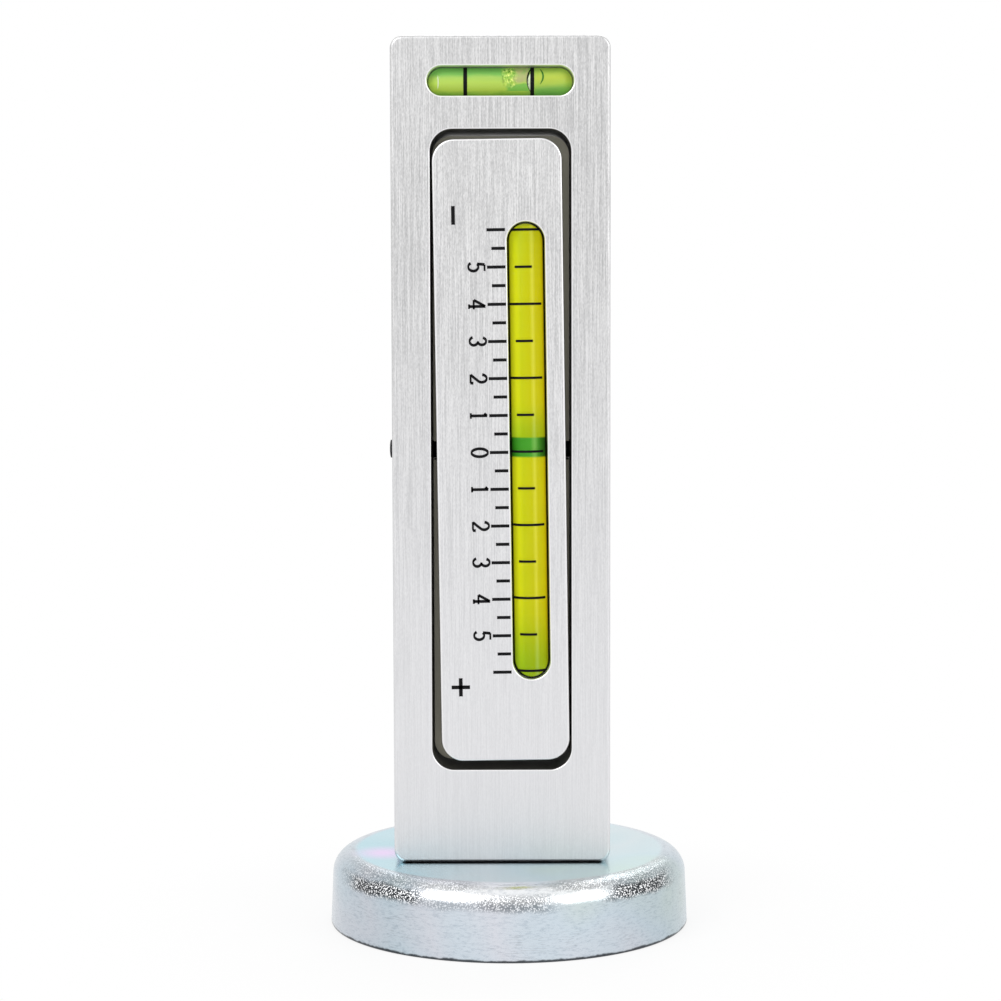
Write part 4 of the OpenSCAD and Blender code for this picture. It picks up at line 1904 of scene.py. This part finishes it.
@dataclass(frozen=True)
class Camera:
    """The camera at the photograph's place: a long lens, a little above the gauge's middle."""

    place: Place = (-0.2153 * MM, -422.43 * MM, 104.31 * MM)
    pitch: float = 0.0789
    yaw: float = -0.0025
    roll: float = -0.0027
    focal_px: float = 2534.05

    def build(self) -> None:
        """Makes the camera and sets it as the scene's own."""
        level = math.cos(self.pitch)
        forward = np.array(
            [math.sin(self.yaw) * level, math.cos(self.yaw) * level, -math.sin(self.pitch)]
        )
        right = np.array([math.cos(self.yaw), -math.sin(self.yaw), 0.0])
        up = np.cross(right, forward)
        turned_right = math.cos(self.roll) * right + math.sin(self.roll) * up
        turned_up = math.cos(self.roll) * up - math.sin(self.roll) * right
        matrix = np.eye(4)
        matrix[:3] = np.stack([turned_right, turned_up, -forward, np.array(self.place)], axis=1)
        data = bpy.data.cameras.new("camera")
        data.sensor_width = SENSOR_MM
        data.lens = self.focal_px / PICTURE_PX * SENSOR_MM
        data.clip_start, data.clip_end = 0.01, 50.0
        camera = bpy.data.objects.new("camera", data)
        camera.matrix_world = Matrix(matrix.tolist())
        bpy.context.scene.collection.objects.link(camera)
        bpy.context.scene.camera = camera


@dataclass(frozen=True)
class Studio:
    """A white floor, a white surround and soft lamps."""

    floor_r: float = 6.0
    floor_sides: int = 64
    white: float = 1.0
    ambient: float = 0.6
    near: float = 0.02
    far: float = 0.08
    least_glow: float = 0.84

    def floor(self) -> None:
        """Makes the floor, which fades to plain white away from the gauge."""
        sides = self.floor_sides
        angle = np.linspace(0.0, 2.0 * np.pi, sides, endpoint=False)
        edge = self.floor_r * np.stack([np.cos(angle), np.sin(angle), np.zeros(sides)], axis=1)
        floor = mesh_piece("floor", edge, [list(range(sides))], None)
        tree = Tree("floor_white")
        away = tree.add("ShaderNodeVectorMath", {0: tree.place}, operation="LENGTH").outputs["Value"]
        matt = tree.add("ShaderNodeBsdfDiffuse", {"Color": (0.9, 0.9, 0.9, 1.0)})
        glow = tree.add("ShaderNodeEmission", {"Color": (1.0, 1.0, 1.0, 1.0), "Strength": self.white})
        share = tree.span(tree.step(away, self.near, self.far), self.least_glow, 1.0)
        floor.data.materials.append(tree.finish_mix(share, matt, glow))

    def surround(self) -> None:
        """Makes the world: white where it is seen or mirrored, dimmer as a light."""
        world = bpy.data.worlds.new("surround")
        world.use_nodes = True
        nodes, links = world.node_tree.nodes, world.node_tree.links
        nodes.clear()
        path = nodes.new("ShaderNodeLightPath")
        seen = nodes.new("ShaderNodeMath")
        seen.operation = "MAXIMUM"
        links.new(path.outputs["Is Camera Ray"], seen.inputs[0])
        links.new(path.outputs["Is Glossy Ray"], seen.inputs[1])
        through = nodes.new("ShaderNodeMath")
        through.operation = "MAXIMUM"
        links.new(seen.outputs[0], through.inputs[0])
        links.new(path.outputs["Is Transmission Ray"], through.inputs[1])
        strength = nodes.new("ShaderNodeMapRange")
        strength.inputs["To Min"].default_value = self.ambient
        strength.inputs["To Max"].default_value = self.white
        links.new(through.outputs[0], strength.inputs["Value"])
        background = nodes.new("ShaderNodeBackground")
        background.inputs["Color"].default_value = (1.0, 1.0, 1.0, 1.0)
        links.new(strength.outputs[0], background.inputs["Strength"])
        output = nodes.new("ShaderNodeOutputWorld")
        links.new(background.outputs[0], output.inputs["Surface"])
        bpy.context.scene.world = world

    def lamp(self, name: str, place: Place, size: float, watts: float) -> None:
        """Makes a square soft lamp that faces the gauge's middle.

        Args:
            name: The lamp's name.
            place: Where it stands.
            size: The length of its side.
            watts: Its power.
        """
        data = bpy.data.lights.new(name, "AREA")
        data.size, data.energy = size, watts
        lamp = bpy.data.objects.new(name, data)
        lamp.location = place
        aim = np.array([0.0, 0.0, 0.07]) - np.array(place)
        lamp.rotation_mode = "QUATERNION"
        lamp.rotation_quaternion = Vector(aim).to_track_quat("-Z", "Y")
        bpy.context.scene.collection.objects.link(lamp)

    def build(self) -> None:
        """Makes the whole stage."""
        self.floor()
        self.surround()
        self.lamp("key_lamp", (-0.45, -0.55, 0.65), 0.5, 3.0)
        self.lamp("fill_lamp", (0.6, -0.45, 0.4), 0.5, 1.5)
        self.lamp("back_lamp", (0.1, 0.7, 0.7), 0.6, 2.0)


def main() -> None:
    """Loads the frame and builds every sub-assembly around it."""
    logging.basicConfig(level=logging.INFO, format="%(name)s %(message)s")
    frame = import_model()
    joints = {joint["name"]: joint for joint in frame["joints"]}
    pivot = np.array(joints["bar_swivel"]["pos_m"])
    lean = -math.asin(joints["camber_bubble_run"]["axis"][0])
    tube_low, tube_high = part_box("cross_vial_tube")
    vial_centre = tuple((low + high) / 2.0 for low, high in zip(tube_low, tube_high))
    tower = Tower(vial_centre, pivot)
    bar = SwivelBar(pivot, lean)
    cross_vial = (vial_centre, tower.spirit_r, tower.slot_w, tower.slot_len)

    palette = {
        "ferrite": Solid("ferrite", (0.07, 0.07, 0.075), 0.45, 0.2).build(),
        "pole_steel": TurnedMetal("pole_steel", (0.5, 0.51, 0.53), 0.34).build(),
        "resin": Solid("resin", (0.035, 0.035, 0.04), 0.35, 1.5).build(),
        "fastener_steel": TurnedMetal("fastener_steel", (0.56, 0.57, 0.6), 0.25).build(),
        "black_steel": Solid("black_steel", (0.011, 0.011, 0.013), 0.5, 0.2, 4.0e-6, 0.15).build(),
        "bush_bronze": TurnedMetal("bush_bronze", (0.66, 0.45, 0.2), 0.36).build(),
        # Painted shade: a darker copy of the aluminium for the window's wall.
        "window_wall": TurnedMetal("window_wall", (0.15, 0.147, 0.135), 0.45).build(),
        # Painted reflection: the slot's wall is lime, as if lit by the liquid beside it.
        "slot_wall": Solid("slot_wall", (0.62, 0.74, 0.42), 0.6, 0.4, 4.0e-6, 0.1).build(),
        # Painted shade: darker, olive-grey copies of the aluminium for the bar's sides and its guide ribs.
        "bar_side": TurnedMetal("bar_side", (0.36, 0.35, 0.315), 0.48).build(),
        "guide": TurnedMetal("guide", (0.42, 0.405, 0.335), 0.48).build(),
        "cut_edge": TurnedMetal("cut_edge", (0.96, 0.96, 0.96), 0.3).build(),
        "vial_tube": ClearWall("vial_tube").build(),
        "cross_liquid": GreenSpirit("cross_liquid", *cross_vial).build(),
        "broken_air": BrokenAir("broken_air", *cross_vial).build(),
        "bubble": Air("bubble").build(),
        # Painted shade and painted highlights for the lines on the cross vial.
        "rim_dark": Solid("rim_dark", (0.01, 0.02, 0.008), 0.4, specular=0.1).build(),
        "rim_bright": Solid("rim_bright", (0.9, 0.95, 0.8), 0.3).build(),
        "rim_green": Solid("rim_green", paint(70, 140, 62), 0.4, specular=0.1).build(),
        "stopper": Solid("stopper", (0.4, 0.45, 0.05), 0.4).build(),
        "bedding": Solid("bedding", (0.9, 0.9, 0.86), 0.7, 0.6).build(),
        "print_black": Solid("print_black", (0.008, 0.008, 0.009), 0.6, 0.1, 2.0e-6, 0.08).build(),
    }
    for face in Face:
        centre = bar.to_row(np.array([[bar.vial_x, bar.vial_y, 0.0]]), face)[0]
        spirit = YellowSpirit(
            f"{face.name.lower()}_liquid",
            tuple(float(part) for part in centre),
            bar.liquid_r,
            bar.slot_w,
            bar.slot_len,
            turn=float(face.value),
            lean=bar.lean,
        )
        palette[f"{face.name.lower()}_liquid"] = spirit.build()

    MagnetBase().build(ZincPlate("zinc_plate").build(), palette)
    tower.build(BrushedAluminium("tower_aluminium").build(), palette)
    bar_light, bar_dark = (0.785, 0.782, 0.782), (0.43, 0.43, 0.432)
    bar.build(BrushedAluminium("bar_aluminium", bar_light, bar_dark).build(), palette)
    Camera().build()
    Studio().build()
    bpy.context.scene.view_settings.view_transform = "Standard"
    bpy.context.view_layer.update()


if __name__ == "__main__":
    main()
